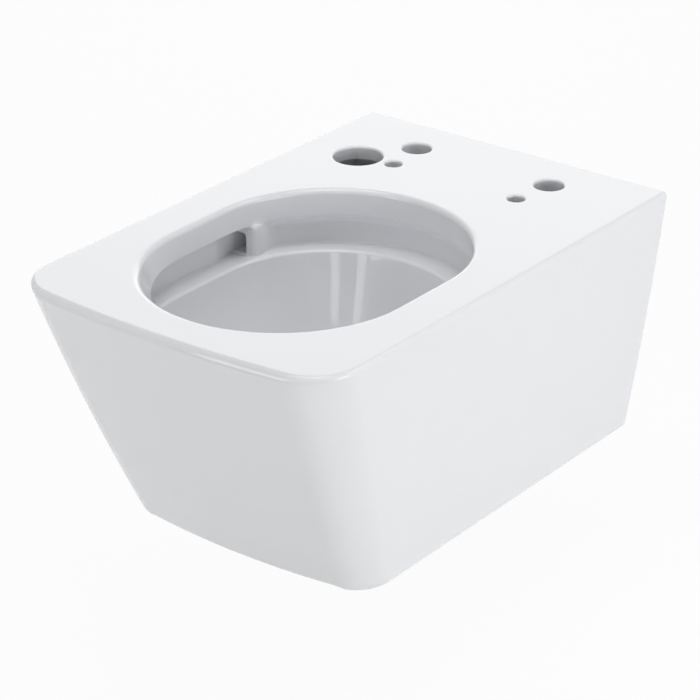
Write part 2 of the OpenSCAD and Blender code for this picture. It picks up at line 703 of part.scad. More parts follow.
module wall_anchor(s) {
    tip_l = anchor_l - anchor_tip;
    color(steel) on_stud(s) difference() {
        translate([0, -washer_t, 0]) rotate([90, 0, 0]) union() {
            cylinder(d = collar_d, h = collar_t);
            cylinder(d = anchor_d, h = tip_l);
            translate([0, 0, tip_l])
                cylinder(d1 = anchor_d, d2 = anchor_d - 2 * anchor_tip, h = anchor_tip);
        }
        translate([0, cut - washer_t, 0]) rotate([90, 0, 0])
            cylinder(d = stud_d, h = stud_hole_l + cut, $fn = small_fn);
        anchor_groove();
        translate([0, -washer_t - anchor_l - cut, 0]) rotate([-90, 0, 0])
            cylinder(d = anchor_hex / cos(30), h = anchor_hex + cut, $fn = 6);
    }
}

module wall_washer(s) {
    color(white_plastic) on_stud(s) rotate([90, 0, 0]) difference() {
        cylinder(d = collar_d, h = washer_t);
        translate([0, 0, -cut])
            cylinder(d = stud_d + 2 * anchor_play, h = washer_t + 2 * cut, $fn = small_fn);
    }
}

// Flanged bush in the china rib
module sleeve(s) {
    sleeve_l = sleeve_flange_t + rib_t;
    color(white_plastic) on_stud(s) translate([0, -mouth_y + sleeve_flange_t, 0])
        rotate([90, 0, 0]) difference() {
            union() {
                cylinder(d = sleeve_flange_d, h = sleeve_flange_t);
                cylinder(d = sleeve_d, h = sleeve_l);
            }
            translate([0, 0, -cut]) cylinder(d = anchor_d + 2 * anchor_play, h = sleeve_l + 2 * cut);
        }
}

// Block with round upright edges, lying along -Y from the origin
module rounded_block(w, l, h, r) {
    for (x = [-w / 2 + r, w / 2 - r], y = [-l + r, -r]) translate([x, y, 0])
        cylinder(r = r, h = h, $fn = small_fn);
    translate([-w / 2 + r, -l, 0]) cube([w - 2 * r, l, h]);
    translate([-w / 2, -l + r, 0]) cube([w, l - 2 * r, h]);
}

// Block round the anchor that guides the jaw and carries the clamp screw's thread
module clamp_block(s) {
    pocket_top = jaw_top + jaw_lift + jaw_play;
    color(nylon) on_stud(s) difference() {
        translate([0, -mouth_y - rib_t, -block_drop])
            rounded_block(block_w, block_l, block_drop + block_rise, block_edge_r);
        translate([0, -mouth_y - rib_t + cut, 0]) rotate([90, 0, 0])
            cylinder(d = anchor_d + 2 * anchor_play, h = block_l + 2 * cut);
        translate([-jaw_w / 2 - jaw_play, -access_y - jaw_l / 2 - jaw_play, 0])
            cube([jaw_w + 2 * jaw_play, jaw_l + 2 * jaw_play, pocket_top]);
        translate([0, -access_y, pocket_top - cut])
            cylinder(d = screw_d + 2 * screw_play, h = block_rise - pocket_top + 2 * cut);
    }
}

// Jaw astride the anchor's groove, pressed down by the clamp screw
module clamp_jaw(s) {
    color(steel) on_stud(s) difference() {
        translate([-jaw_w / 2, -access_y - jaw_l / 2, jaw_foot]) cube([jaw_w, jaw_l, jaw_top - jaw_foot]);
        jaw_relief();
        translate([0, -access_y, jaw_top - pilot_l])
            cylinder(r = pilot_d / 2 + screw_play, h = pilot_l + cut, $fn = small_fn);
    }
}

// The anchor's shape at the groove, grown by the play, as the space that the jaw must leave
module jaw_relief() {
    r = anchor_d / 2 - groove_depth + anchor_play;
    half = groove_floor / 2 - anchor_play;
    rim = r + groove_depth;
    translate([0, -access_y, 0]) rotate([90, 0, 0]) rotate_extrude()
        polygon([[0, -jaw_l], [rim, -jaw_l], [rim, -half - groove_depth], [r, -half],
            [r, half], [rim, half + groove_depth], [rim, jaw_l], [0, jaw_l]]);
}

module clamp_screw(s) {
    shank_l = screw_l - screw_chamfer;
    color(steel) on_stud(s) translate([0, -access_y, jaw_top]) difference() {
        union() {
            translate([0, 0, screw_play]) cylinder(d = screw_d, h = shank_l - screw_play);
            translate([0, 0, shank_l])
                cylinder(d1 = screw_d, d2 = screw_d - 2 * screw_chamfer, h = screw_chamfer);
            translate([0, 0, screw_play - pilot_l]) cylinder(d = pilot_d, h = pilot_l, $fn = small_fn);
        }
        translate([0, 0, screw_l - screw_hex_l])
            cylinder(d = screw_hex / cos(30), h = screw_hex_l + cut, $fn = 6);
    }
}

deck_rim();
shroud();
bowl();
channel_wall();
flush_distributor();
inlet_chamber();
trapway();
inlet_seal();
wall_anchor(-1);  // wall_anchor_left
wall_anchor(1);  // wall_anchor_right
wall_washer(-1);  // wall_washer_left
wall_washer(1);  // wall_washer_right
sleeve(-1);  // sleeve_left
sleeve(1);  // sleeve_right
clamp_block(-1);  // clamp_block_left
clamp_block(1);  // clamp_block_right
clamp_jaw(-1);  // clamp_jaw_left
clamp_jaw(1);  // clamp_jaw_right
clamp_screw(-1);  // clamp_screw_left
clamp_screw(1);  // clamp_screw_right
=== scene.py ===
"""Visual model of a wall hung toilet pan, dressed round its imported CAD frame."""
import json
from functools import cached_property
from math import asin, atan, atan2, cos, hypot, pi, radians, sin, sqrt

import bmesh
import bpy
from mathutils import Matrix, Vector

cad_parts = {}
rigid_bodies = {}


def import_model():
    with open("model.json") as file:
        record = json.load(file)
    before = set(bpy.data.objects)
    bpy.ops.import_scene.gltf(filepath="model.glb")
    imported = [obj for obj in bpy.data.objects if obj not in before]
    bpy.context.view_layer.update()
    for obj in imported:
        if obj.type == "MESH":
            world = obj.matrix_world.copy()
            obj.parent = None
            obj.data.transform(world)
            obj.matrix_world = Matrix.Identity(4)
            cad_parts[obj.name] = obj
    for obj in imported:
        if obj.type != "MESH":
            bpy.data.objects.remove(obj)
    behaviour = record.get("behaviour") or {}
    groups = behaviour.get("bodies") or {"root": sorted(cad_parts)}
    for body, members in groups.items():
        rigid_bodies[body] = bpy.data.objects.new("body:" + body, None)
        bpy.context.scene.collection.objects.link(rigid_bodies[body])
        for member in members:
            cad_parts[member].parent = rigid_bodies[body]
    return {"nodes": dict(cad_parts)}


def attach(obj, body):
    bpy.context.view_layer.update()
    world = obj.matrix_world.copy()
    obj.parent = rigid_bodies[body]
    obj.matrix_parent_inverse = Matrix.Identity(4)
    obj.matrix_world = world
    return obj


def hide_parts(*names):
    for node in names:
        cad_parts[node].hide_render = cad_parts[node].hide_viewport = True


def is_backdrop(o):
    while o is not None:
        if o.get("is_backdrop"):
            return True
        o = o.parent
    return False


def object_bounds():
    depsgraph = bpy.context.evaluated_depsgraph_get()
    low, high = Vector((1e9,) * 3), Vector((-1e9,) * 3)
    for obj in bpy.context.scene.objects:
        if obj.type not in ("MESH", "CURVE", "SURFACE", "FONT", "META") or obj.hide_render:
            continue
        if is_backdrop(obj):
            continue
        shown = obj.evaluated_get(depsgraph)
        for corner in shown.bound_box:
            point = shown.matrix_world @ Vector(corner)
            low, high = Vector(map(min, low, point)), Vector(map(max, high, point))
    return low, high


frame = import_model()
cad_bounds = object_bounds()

bl_info = {
    "name": "Wall Hung Pan",
    "version": (1, 0, 0),
    "blender": (4, 5, 0),
    "location": "3D Viewport > Sidebar > Wall Hung Pan",
    "description": "Glazed wall hung pan with its concealed fixings, on a studio floor",
    "category": "Add Mesh",
}


# Sizes and colours

def length(name, mm, text):
    return bpy.props.FloatProperty(name=name, description=text, default=mm / 1000, min=0,
                                   precision=4, unit="LENGTH")


def angle(name, degrees, text):
    return bpy.props.FloatProperty(name=name, description=text, default=radians(degrees), min=0,
                                   subtype="ANGLE")


def colour(name, rgb, text):
    return bpy.props.FloatVectorProperty(name=name, description=text, default=rgb, size=3, min=0, max=1,
                                         subtype="COLOR")


def factor(name, value, text):
    return bpy.props.FloatProperty(name=name, description=text, default=value, min=0, max=1,
                                   subtype="FACTOR")


def power(name, watts, text):
    return bpy.props.FloatProperty(name=name, description=text, default=watts, min=0, unit="POWER")


class PanSizes(bpy.types.PropertyGroup):
    """Outer shape and walls of the china"""
    pan_w: length("Width", 380, "Width across the deck")
    pan_l: length("Depth", 576, "Depth from the wall to the front of the deck")
    pan_h: length("Height", 285, "Height from the underside to the deck")
    deck_z: length("Deck", 80, "Height of the deck above the wall studs")
    side_taper: length("Side taper", 39.5, "How far each side leans in towards the underside")
    side_belly: length("Side belly", 2.1, "Belly of the leaning side, off a straight line")
    front_taper: length("Front taper", 119, "How far the front leans in towards the underside")
    front_belly: length("Front belly", 3.6, "Belly of the leaning front, off a straight line")
    front_bow: length("Front bow", 13.5, "Bow of the front edge in plan")
    corner_top_r: length("Corner at the deck", 55, "Radius of the front corners at the deck")
    corner_foot_r: length("Corner at the foot", 40, "Radius of the front corners at the underside")
    side_edge_r: length("Side edge", 5, "Rounding of the deck's side edges")
    front_edge_r: length("Front edge", 7, "Rounding of the deck's front edge")
    foot_side_r: length("Lower side edge", 15, "Rounding of the lower edge at the sides")
    foot_front_r: length("Lower front edge", 11.5, "Rounding of the lower edge at the front")
    foot_w: length("Foot", 5, "Width of the flat foot inside the lower edge")
    foot_recess: length("Foot recess", 4, "Depth of the recessed underside inside the foot")
    foot_lift: length("Foot lift", 2, "Lift of the foot across the front")
    foot_lift_x: length("Lift half width", 112, "Half width of the lifted stretch")
    foot_lift_run: length("Lift run", 14, "Length of the step at each end of the lifted stretch")
    foot_fade_h: length("Lift fade", 45, "Height over which the lift fades out")
    deck_t: length("Deck thickness", 14, "Thickness of the deck")
    skirt_t: length("Skirt thickness", 10, "Thickness of the skirt")
    floor_t: length("Floor thickness", 10, "Thickness of the skirt's floor")
    bowl_t: length("Bowl thickness", 9, "Thickness of the bowl and the flush ways")
    flange_l: length("Wall flange depth", 14, "Depth of the flange where the skirt meets the wall")
    flange_w: length("Wall flange width", 11, "Width of that flange inside the skirt")
    inner_r: length("Inside corners", 6, "Fillet inside the hollow, where its walls meet")


class OpeningSizes(bpy.types.PropertyGroup):
    """Opening, flush channel, bowl and deck holes"""
    rim_side: length("Rim at the side", 52.5, "Deck width beside the opening")
    rim_front: length("Rim at the front", 48, "Deck width in front of the opening")
    deck_back: length("Deck at the back", 172.5, "Deck depth behind the opening")
    rim_edge_r: length("Rim edge", 6, "Rounding of the opening's upper edge")
    rim_h: length("Rim height", 30, "Height of the rim wall")
    rim_lean: length("Rim lean", 20, "How far the front of the rim wall leans in at its lower edge")
    channel_w: length("Channel width", 13, "Width of the flush channel at the sides")
    channel_h: length("Channel height", 31.5, "Height of the flush channel")
    channel_t: length("Channel wall", 8, "Thickness of the channel wall")
    channel_gap: length("Channel gap", 0.7, "Gap between the channel and the skirt at the front")
    channel_r: length("Channel fillet", 2, "Fillets and soft edges of the channel")
    ledge_w: length("Ledge", 9, "Reach of the ledge into the opening, at the sides and the front")
    ledge_back_w: length("Back ledge", 15.8, "Reach of the ledge into the opening, at the back")
    ledge_edge_r: length("Ledge edge", 3, "Rounding of the ledge's inner edge")
    basin_straight: factor("Straight slope", 0.65, "Share of straight slope in the basin's profile")
    sump_r: length("Sump", 40, "Half width of the sump")
    sump_back: length("Sump back", 273, "Distance from the wall to the back of the sump")
    sump_front: length("Sump front", 363, "Distance from the wall to the front of the sump")
    sump_round: length("Sump rounding", 26, "Height of the rounded bottom of the sump")
    nozzle_y: length("Nozzle face", 275.5, "Distance from the wall to the face of the flush nozzles")
    nozzle_h: length("Nozzle height", 23.5, "Top of the nozzle above the channel floor")
    nozzle_reach: length("Nozzle reach", 5, "Reach of the nozzle block past the rim wall")
    nozzle_corner_r: length("Nozzle corner", 5, "Rounding of the nozzle block's upright corner")
    back_set: length("Back set", 8.5, "Reach of the back wall behind the rim wall")
    nozzle_sill: length("Nozzle sill", 1, "Step from the channel floor up to the nozzle")
    nozzle_slot_r: length("Nozzle slot corner", 4.5, "Rounding of the nozzle's upper inner corner")
    nozzle_wall: length("Nozzle wall", 10, "China between the nozzle and the opening")
    nozzle_from: angle("Fade start", 15.5, "Angle round the opening where the nozzle block starts to fade")
    nozzle_fade: angle("Fade", 15, "Angle over which the nozzle block fades out")
    duct_back_w: length("Duct widening", 19, "Widening of the distributor duct at the back")
    duct_ease: factor("Duct ease", 0.2, "How evenly the channel and the duct widen; less is sooner")
    duct_soft: factor("Duct soft start", 0.03, "Share of the way round over which the widening sets in")
    duct_wall: length("Duct wall", 6, "China between the duct and the back of the opening")
    block_top: length("Block top", 2, "How far the nozzle block reaches up over the rim's lower edge")
    block_soft: length("Block top rounding", 6, "Rounding of the nozzle block's top")
    back_drop: length("Back drop", 3, "How far the rim's lower edge hangs down at the back")
    back_soft: length("Back rounding", 7, "Rounding of the rim's lower edge at the back")
    access_pitch: length("Access pitch", 168, "Distance between the two access holes")
    access_y: length("Access distance", 57, "Distance of the access holes from the wall")
    access_d: length("Access hole", 31, "Diameter of the access holes")
    seat_pitch: length("Seat pitch", 155, "Distance between the two seat holes")
    seat_y: length("Seat distance", 107, "Distance of the seat holes from the wall")
    seat_d: length("Seat hole", 18, "Diameter of the seat holes")
    supply_x: length("Supply offset", 120, "Distance of the supply hole from the middle")
    supply_y: length("Supply distance", 112, "Distance of the supply hole from the wall")
    supply_d: length("Supply hole", 52.5, "Diameter of the supply hole")
    hole_edge_r: length("Hole edge", 2.5, "Rounding of the deck holes' upper edges")


class WaterwaySizes(bpy.types.PropertyGroup):
    """Flush inlet, trap and outlet"""
    inlet_z: length("Inlet height", 35, "Height of the flush inlet above the wall studs")
    inlet_d: length("Inlet", 55, "Diameter of the flush inlet")
    inlet_t: length("Horn wall", 8, "Wall of the inlet horn")
    mouth_y: length("Mouths", 30, "Distance from the wall to the mouths of the inlet and outlet")
    inlet_l: length("Horn length", 54, "Length of the inlet horn")
    chamber_w: length("Chamber width", 88, "Width of the inlet chamber")
    chamber_seat: length("Chamber seat", 5, "How much of the distributor's back is cut flat")
    chamber_drop: length("Chamber drop", 6.5, "Depth of the chamber's floor below the channel's")
    window_margin: length("Window margin", 4, "Margin of the window into the distributor")
    outlet_drop: length("Outlet drop", 100, "Depth of the outlet below the wall studs")
    outlet_d: length("Spigot", 102, "Outer diameter of the outlet spigot")
    outlet_bore_d: length("Spigot bore", 88, "Bore of the outlet spigot")
    spigot_step: length("Spigot step", 4, "Step from the trap's bore out to the spigot's")
    spigot_edge_r: length("Mouth edges", 2, "Rounding of the china mouths")
    web_w: length("Web width", 70, "Width of the web that carries the spigot")
    trap_d: length("Trap bore", 52, "Bore of the trap up to the weir")
    trap_start_h: length("Trap start", 27, "Height of the trap's start over the sump floor")
    trap_weir_drop: length("Weir drop", 69.5, "Depth of the trap's centre line at the weir")
    trap_weir_y: length("Weir distance", 142.5, "Distance from the wall to the weir")
    throat_out: length("Throat", 1, "How far the throat stands out behind the bowl")
    trap_t: length("Trap wall", 8, "Wall of the trap")
    trap_fall: angle("Falling leg", 45, "Slope of the falling leg")
    trap_bend_r: length("First bend", 50, "Radius of the first bend")
    trap_weir_r: length("Weir bend", 38, "Radius of the bend over the weir")
    trap_out_r: length("Last bend", 60, "Radius of the last bend")


class FixingSizes(bpy.types.PropertyGroup):
    """Concealed wall fixings and the inlet seal"""
    stud_pitch: length("Stud pitch", 180, "Distance between the wall studs")
    rib_t: length("Rib", 14, "Thickness of the china ribs that take the sleeves")
    rib_in: length("Rib inner end", 48, "Inner end of the ribs, from the middle")
    rib_drop: length("Rib drop", 45, "Depth of the ribs below the wall studs")
    stud_d: length("Stud", 12, "Diameter of the wall studs")
    stud_thread: length("Stud thread", 1.75, "Pitch of the studs' thread")
    anchor_l: length("Anchor", 86, "Length of the anchor from the washer to its tip")
    anchor_tip: length("Anchor tip", 2, "Chamfer of the anchor's tip")
    anchor_d: length("Anchor diameter", 20, "Diameter of the anchor")
    collar_d: length("Collar", 34, "Diameter of the anchor's collar and washer")
    collar_t: length("Collar thickness", 4, "Thickness of the collar")
    washer_t: length("Washer thickness", 3, "Thickness of the nylon washer")
    stud_hole_l: length("Stud hole", 40, "Depth of the stud hole in the anchor")
    groove_depth: length("Groove", 3.5, "Depth of the tightening groove")
    groove_floor: length("Groove floor", 7, "Width of the floor of the groove")
    anchor_hex: length("Anchor socket", 8, "Width across flats of the anchor's hex socket")
    anchor_play: length("Anchor play", 0.3, "Free play round the anchor, on the radius")
    sleeve_d: length("Sleeve", 34, "Diameter of the sleeves")
    sleeve_flange_d: length("Sleeve flange", 44, "Diameter of the sleeve flanges")
    sleeve_flange_t: length("Sleeve flange thickness", 3, "Thickness of the sleeve flanges")
    seat_play: length("Seat play", 0.1, "Play of the sleeves in the china, on the radius")
    jaw_top: length("Jaw top", 16, "Top of the clamp jaw above the anchor's axis")
    screw_d: length("Clamp screw", 10, "Diameter of the clamp screw")
    screw_l: length("Clamp screw length", 28, "Length of the clamp screw above the jaw")
    screw_hex: length("Screw socket", 6, "Width across flats of the clamp screw's hex socket")
    screw_hex_l: length("Screw socket depth", 8, "Depth of the clamp screw's hex socket")
    screw_chamfer: length("Screw chamfer", 0.8, "Chamfer of the clamp screw's head end")
    screw_play: length("Screw play", 0.05, "Running play of the clamp screw, on the radius")
    screw_thread: length("Screw thread", 1.5, "Pitch of the clamp screw's thread")
    thread_depth: length("Thread depth", 0.65, "Depth of the threads")
    pilot_d: length("Pilot", 6, "Diameter of the screw's pilot, which turns in the jaw")
    pilot_l: length("Pilot length", 3, "Length of that pilot")
    soft_edge: length("Soft edges", 0.6, "Rounding of the moulded and turned edges")
    seal_bore_d: length("Seal bore", 45, "Bore of the seal, for the flush pipe")
    seal_l: length("Seal length", 26, "Length of the seal inside the horn")
    seal_flange_t: length("Seal flange", 2.5, "Thickness of the seal's end flange")
    seal_flange_w: length("Seal flange reach", 3, "Reach of the end flange over the horn's mouth")
    seal_groove: length("Seal grooves", 1.5, "Depth of the grooves between the seal's lips")
    seal_groove_w: length("Groove width", 2.6, "Width of those grooves")
    seal_lip: length("Seal lips", 0.9, "Height of the wiping lips inside the seal")


class FinishColours(bpy.types.PropertyGroup):
    """Colours of the finishes"""
    glaze: colour("Glaze", (0.84, 0.85, 0.872), "White glaze")
    biscuit: colour("Biscuit", (0.64, 0.625, 0.595), "Unglazed china, on the wall flange and the foot")
    zinc: colour("Zinc", (0.6, 0.61, 0.62), "Zinc plated steel")
    white_nylon: colour("White nylon", (0.8, 0.8, 0.77), "Washers and sleeves")
    grey_nylon: colour("Grey nylon", (0.09, 0.093, 0.1), "Clamp blocks")
    rubber: colour("Rubber", (0.035, 0.035, 0.037), "Inlet seal")
    floor: colour("Floor", (0.85, 0.85, 0.85), "Studio floor")


class StageSettings(bpy.types.PropertyGroup):
    """Camera, floor and lamps"""
    camera_place: bpy.props.FloatVectorProperty(
        name="Camera", description="Place of the camera", default=(1.578564, -2.337611, 1.195580),
        size=3, subtype="TRANSLATION", unit="LENGTH")
    camera_azimuth: angle("Azimuth", 37.523, "Turn of the camera to the right of straight ahead")
    camera_elevation: angle("Elevation", 25.604, "Height angle of the camera")
    camera_lens: bpy.props.FloatProperty(
        name="Lens", description="Focal length in millimetres, on a 36 mm frame", default=147.39, min=1)
    deck_height: length("Deck height", 400, "Height of the deck above the floor")
    floor_size: length("Floor size", 9000, "Side of the square floor")
    floor_white: factor("Floor white", 0.94, "Share of plain white in what the camera sees of the floor")
    world_light: bpy.props.FloatProperty(
        name="World light", description="Strength of the even light from all round", default=0.065, min=0)
    top_power: power("Top lamp", 22, "Power of the large lamp overhead")
    far_power: power("Far lamp", 15, "Power of the large lamp that the deck mirrors to the camera")
    back_power: power("Back lamp", 7.3, "Power of the lamp behind, on the right")
    front_power: power("Front lamp", 10.7, "Power of the low lamp in front")
    right_power: power("Right lamp", 24.5, "Power of the low lamp on the right")
    strip_power: power("Strip lamps", 1.5, "Power of each narrow lamp that the bowl mirrors as a streak")


class Sizes:
    """All sizes by name, with the ones that follow from them, in metres"""

    def __init__(self, scene):
        for group in (scene.pan_sizes, scene.opening_sizes, scene.waterway_sizes, scene.fixing_sizes):
            for name in type(group).__annotations__:
                setattr(self, name, getattr(group, name))
        self.foot_z = self.deck_z - self.pan_h
        self.joint_z = self.deck_z - self.rim_h
        self.deck_under_z = self.deck_z - self.deck_t
        self.floor_z = self.foot_z + self.foot_recess + self.floor_t
        self.shelf_z = self.joint_z - self.channel_h
        self.sump_z = self.floor_z + self.bowl_t
        self.side_slope_top = (self.side_taper - 4 * self.side_belly) / self.pan_h
        self.side_slope_foot = (self.side_taper + 4 * self.side_belly) / self.pan_h
        self.front_slope_top = (self.front_taper - 4 * self.front_belly) / self.pan_h
        self.front_slope_foot = (self.front_taper + 4 * self.front_belly) / self.pan_h
        self.front_skew = hypot(1, self.front_taper / self.pan_h)
        self.side_start = self.pan_w / 2 + edge_set(self.side_edge_r, self.side_slope_top)
        self.front_start = self.pan_l + edge_set(self.front_edge_r, self.front_slope_top)
        self.open_r = self.pan_w / 2 - self.rim_side
        self.open_back_y = -(self.deck_back + self.open_r)
        self.open_front_y = -(self.pan_l - self.rim_front - self.open_r)
        outer_d = self.deck_z - self.shelf_z + self.bowl_t
        self.channel_front_r = (self.front_start - self.lean(outer_d, self.front_taper, self.front_belly)
                                - self.skirt_t * self.front_skew - self.channel_gap + self.open_front_y)
        self.channel_side_r = self.open_r + self.channel_w + self.channel_t
        self.chamber_z = self.shelf_z - self.chamber_drop
        self.channel_r_out = self.open_r + self.channel_w
        self.face_a = 0
        for _ in range(6):
            self.face_a = asin((-self.nozzle_y - self.open_back_y)
                               / (self.channel_r_out + self.duct_growth(self.face_a)))
        self.chamber_front_y = self.open_back_y + self.channel_side_r + self.duct_back_w - self.chamber_seat
        self.throat_z = self.sump_z + self.trap_start_h
        self.throat_y = (self.basin_back(self.throat_z + self.trap_d / 2 + self.bowl_t)
                         + self.bowl_t + self.throat_out)

    def lean(self, d, taper, belly):
        """How far a leaning face has come in at depth d under the deck"""
        t = d / self.pan_h
        return taper * t - 4 * belly * t * (1 - t)

    def side_x(self, d):
        return (self.side_start - self.lean(d, self.side_taper, self.side_belly)
                - rounding(d, self.side_edge_r, self.side_slope_top)
                - rounding(self.pan_h - d, self.foot_side_r, -self.side_slope_foot))

    def edge_cut(self, d):
        """What the front's roundings take off at depth d"""
        return (rounding(d, self.front_edge_r, self.front_slope_top)
                + rounding(self.pan_h - d, self.foot_front_r, -self.front_slope_foot))

    def front_l(self, d):
        return self.front_start - self.lean(d, self.front_taper, self.front_belly) - self.edge_cut(d)

    def corner_r(self, d):
        return (self.corner_top_r + (self.corner_foot_r - self.corner_top_r) * d / self.pan_h
                - self.edge_cut(d))

    def basin(self, z):
        """Share of the way from the sump back out to the ledge, at height z"""
        t = min(1, (self.shelf_z - z) / (self.shelf_z - self.sump_z - self.sump_round))
        return self.basin_straight * (1 - t) + (1 - self.basin_straight) * cos(pi / 2 * t)

    def basin_back(self, z):
        reach = self.sump_back + self.open_back_y + self.open_r - self.ledge_back_w
        return -self.sump_back + reach * self.basin(z)

    def block_fade(self, t):
        """0 on the nozzle block and 1 on the back wall, at angle t round the back of the opening"""
        return ease((min(t, pi - t) - self.nozzle_from) / self.nozzle_fade)

    def inner_wall_r(self, t):
        """Radius of the distributor's inner wall, at angle t round the back of the opening"""
        return self.open_r - self.nozzle_reach + (self.nozzle_reach + self.back_set) * self.block_fade(t)

    def duct_growth(self, t):
        """How far the channel and the distributor have widened, at angle t round the back"""
        way = hypot(max(0, min(t, pi - t)) * 2 / pi, self.duct_soft) - self.duct_soft
        return self.duct_back_w * (1 - (1 - way) ** (1 / self.duct_ease))

    def rim_lean_at(self, z):
        return self.rim_lean * (self.deck_z - z) / self.rim_h


def mix(a, b, share):
    return tuple(u + (v - u) * share for u, v in zip(a, b))


def ease(t):
    u = max(0, min(1, t))
    return u * u * (3 - 2 * u)


def edge_set(r, slope):
    """How far a rounded edge sets the sharp corner outside the rounding's widest point"""
    return r * (slope + 1 / cos(atan(slope)) - 1)


def rounding(d, r, slope):
    """How far a rounded edge stays inside its leaning face, at distance d from the edge"""
    a = atan(slope)
    if d >= r * (1 + sin(a)):
        return 0
    return r * slope + r / cos(a) - slope * d - sqrt(max(0, r * r - (r - d) ** 2))


def steps(first, last, n, skip=0):
    """Even steps from first to last, without the first skip of them"""
    return [first + (last - first) * i / n for i in range(skip, n + 1)]


def fillet(d, r):
    """How far a fillet of radius r stands off its wall, at distance d from the corner"""
    return 0 if d >= r else r - sqrt(r * r - (r - d) ** 2)


# Mesh tools

GLAZED, BARE = 0, 1
SIDES = (("left", -1), ("right", 1))
SAME_POINT = 1e-7
PACKED_POINT = 2e-6
FLAT_ANGLE = radians(0.5)
SHARP_ANGLE = radians(32)
CHINA_SHARP_ANGLE = radians(38)
FILLET_STEPS = 6
SOFT_STEPS = 4
ROUND_SIDES = 96
HEX_SIDES = 6


def solid(name, points, faces):
    """New closed mesh object"""
    mesh = bpy.data.meshes.new(name)
    mesh.from_pydata([tuple(p) for p in points], [], faces)
    return closed(new_object(name, mesh))


def new_object(name, data):
    made = bpy.data.objects.new(name, data)
    bpy.context.collection.objects.link(made)
    return made


def closed(made):
    """Merges a mesh's doubles, turns its faces outwards and gives it both finishes, all faces glazed"""
    mesh = made.data
    work = bmesh.new()
    work.from_mesh(mesh)
    bmesh.ops.remove_doubles(work, verts=work.verts, dist=SAME_POINT)
    bmesh.ops.recalc_face_normals(work, faces=work.faces)
    work.to_mesh(mesh)
    work.free()
    mesh.materials.clear()
    for slot in ("glazed", "bare"):
        mesh.materials.append(bpy.data.materials.get(slot) or bpy.data.materials.new(slot))
    return made


def loft(name, rings):
    """Solid through a stack of rings, the first on top, each clockwise seen from above"""
    n = len(rings[0])
    m = len(rings)
    faces = [tuple(range(n - 1, -1, -1)), tuple(range((m - 1) * n, m * n))]
    for j in range(m - 1):
        for i in range(n):
            a, b, k = j * n, (j + 1) * n, (i + 1) % n
            faces.append((a + i, a + k, b + k, b + i))
    return solid(name, [p for ring in rings for p in ring], faces)


def box(name, low, high, edge_r=0):
    """Block between two corners, with its upright edges rounded"""
    corners = [(high[0], high[1], 1, 1), (high[0], low[1], 1, -1), (low[0], low[1], -1, -1),
               (low[0], high[1], -1, 1)]
    starts = (pi / 2, 0, -pi / 2, pi)
    outline = []
    for (x, y, sx, sy), start in zip(corners, starts):
        for turn in steps(0, pi / 2, FILLET_STEPS) if edge_r else (0,):
            a = start - turn
            outline.append((x - sx * edge_r + edge_r * cos(a), y - sy * edge_r + edge_r * sin(a)))
    return loft(name, [at_z(outline, high[2]), at_z(outline, low[2])])


def lathe(name, profile, axis, centre, sides):
    """Turned solid: a profile of (radius, place along the axis), from one flat end to the other"""
    rings = []
    for r, along in profile:
        ring = []
        for i in range(sides):
            a = 2 * pi * i / sides
            ring.append(Vector(centre) + on_axis(axis, r * cos(a), r * sin(a), along))
        rings.append(ring)
    return loft(name, rings)


def rod(name, r, first, last, axis, centre, sides=ROUND_SIDES):
    """Plain cylinder or prism between two places along its axis"""
    return lathe(name, [(r, first), (r, last)], axis, centre, sides)


def hex_socket(flats, first, last, axis, centre):
    """Cutter for a hex socket, by its width across flats"""
    return rod("socket", flats / 2 / cos(pi / 6), first, last, axis, centre, HEX_SIDES)


def turned(name, loop, axis, centre, sides):
    """Turned ring or solid: a closed profile of (radius, place along the axis)"""
    points, faces = [], []
    n = len(loop)
    for i in range(sides):
        a = 2 * pi * i / sides
        points += [Vector(centre) + on_axis(axis, r * cos(a), r * sin(a), along) for r, along in loop]
        k = (i + 1) % sides
        faces += [(i * n + j, i * n + (j + 1) % n, k * n + (j + 1) % n, k * n + j) for j in range(n)]
    return solid(name, points, faces)


def on_axis(axis, u, v, along):
    return Vector((u, along, v) if axis == "Y" else (u, v, along))


def softened(loop, r):
    """Closed profile with its corners rounded by up to a third of their sides, but not on the axis"""
    made = []
    for i, corner in enumerate(loop):
        if corner[0] == 0:
            made.append(corner)
            continue
        p, back, on = Vector(corner), Vector(loop[i - 1]), Vector(loop[(i + 1) % len(loop)])
        reach = min(r, (back - p).length / 3, (on - p).length / 3)
        a, b = p + (back - p).normalized() * reach, p + (on - p).normalized() * reach
        made += [tuple((1 - t) ** 2 * a + 2 * t * (1 - t) * p + t * t * b)
                 for t in steps(0, 1, SOFT_STEPS)]
    return made


def tidied_copy(node, edge_r):
    """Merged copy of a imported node, with its crisp edges broken by a small bevel"""
    mesh = frame["nodes"][node].data.copy()
    mesh.name = f"{node}_dressed"
    work = bmesh.new()
    work.from_mesh(mesh)
    bmesh.ops.remove_doubles(work, verts=work.verts, dist=PACKED_POINT)
    bmesh.ops.dissolve_limit(work, angle_limit=FLAT_ANGLE, verts=work.verts, edges=work.edges)
    work.to_mesh(mesh)
    work.free()
    made = new_object(mesh.name, mesh)
    bevel = made.modifiers.new("edges", "BEVEL")
    bevel.width = edge_r
    bevel.segments = 2
    bevel.limit_method = "ANGLE"
    bevel.angle_limit = SHARP_ANGLE
    return take_result(made)


def at_z(outline, z):
    return [(p[0], p[1], z) for p in outline]


def combine(base, operation, tools):
    """Applies one Boolean after another to a solid, and deletes the solids that it has used"""
    for tool in tools:
        change = base.modifiers.new(tool.name, "BOOLEAN")
        change.operation = operation
        change.solver = "MANIFOLD"
        change.material_mode = "INDEX"
        change.object = tool
        take_result(base)
        remove(tool)
    return base


def join(base, *tools):
    return combine(base, "UNION", tools)


def cut(base, *tools):
    return combine(base, "DIFFERENCE", tools)


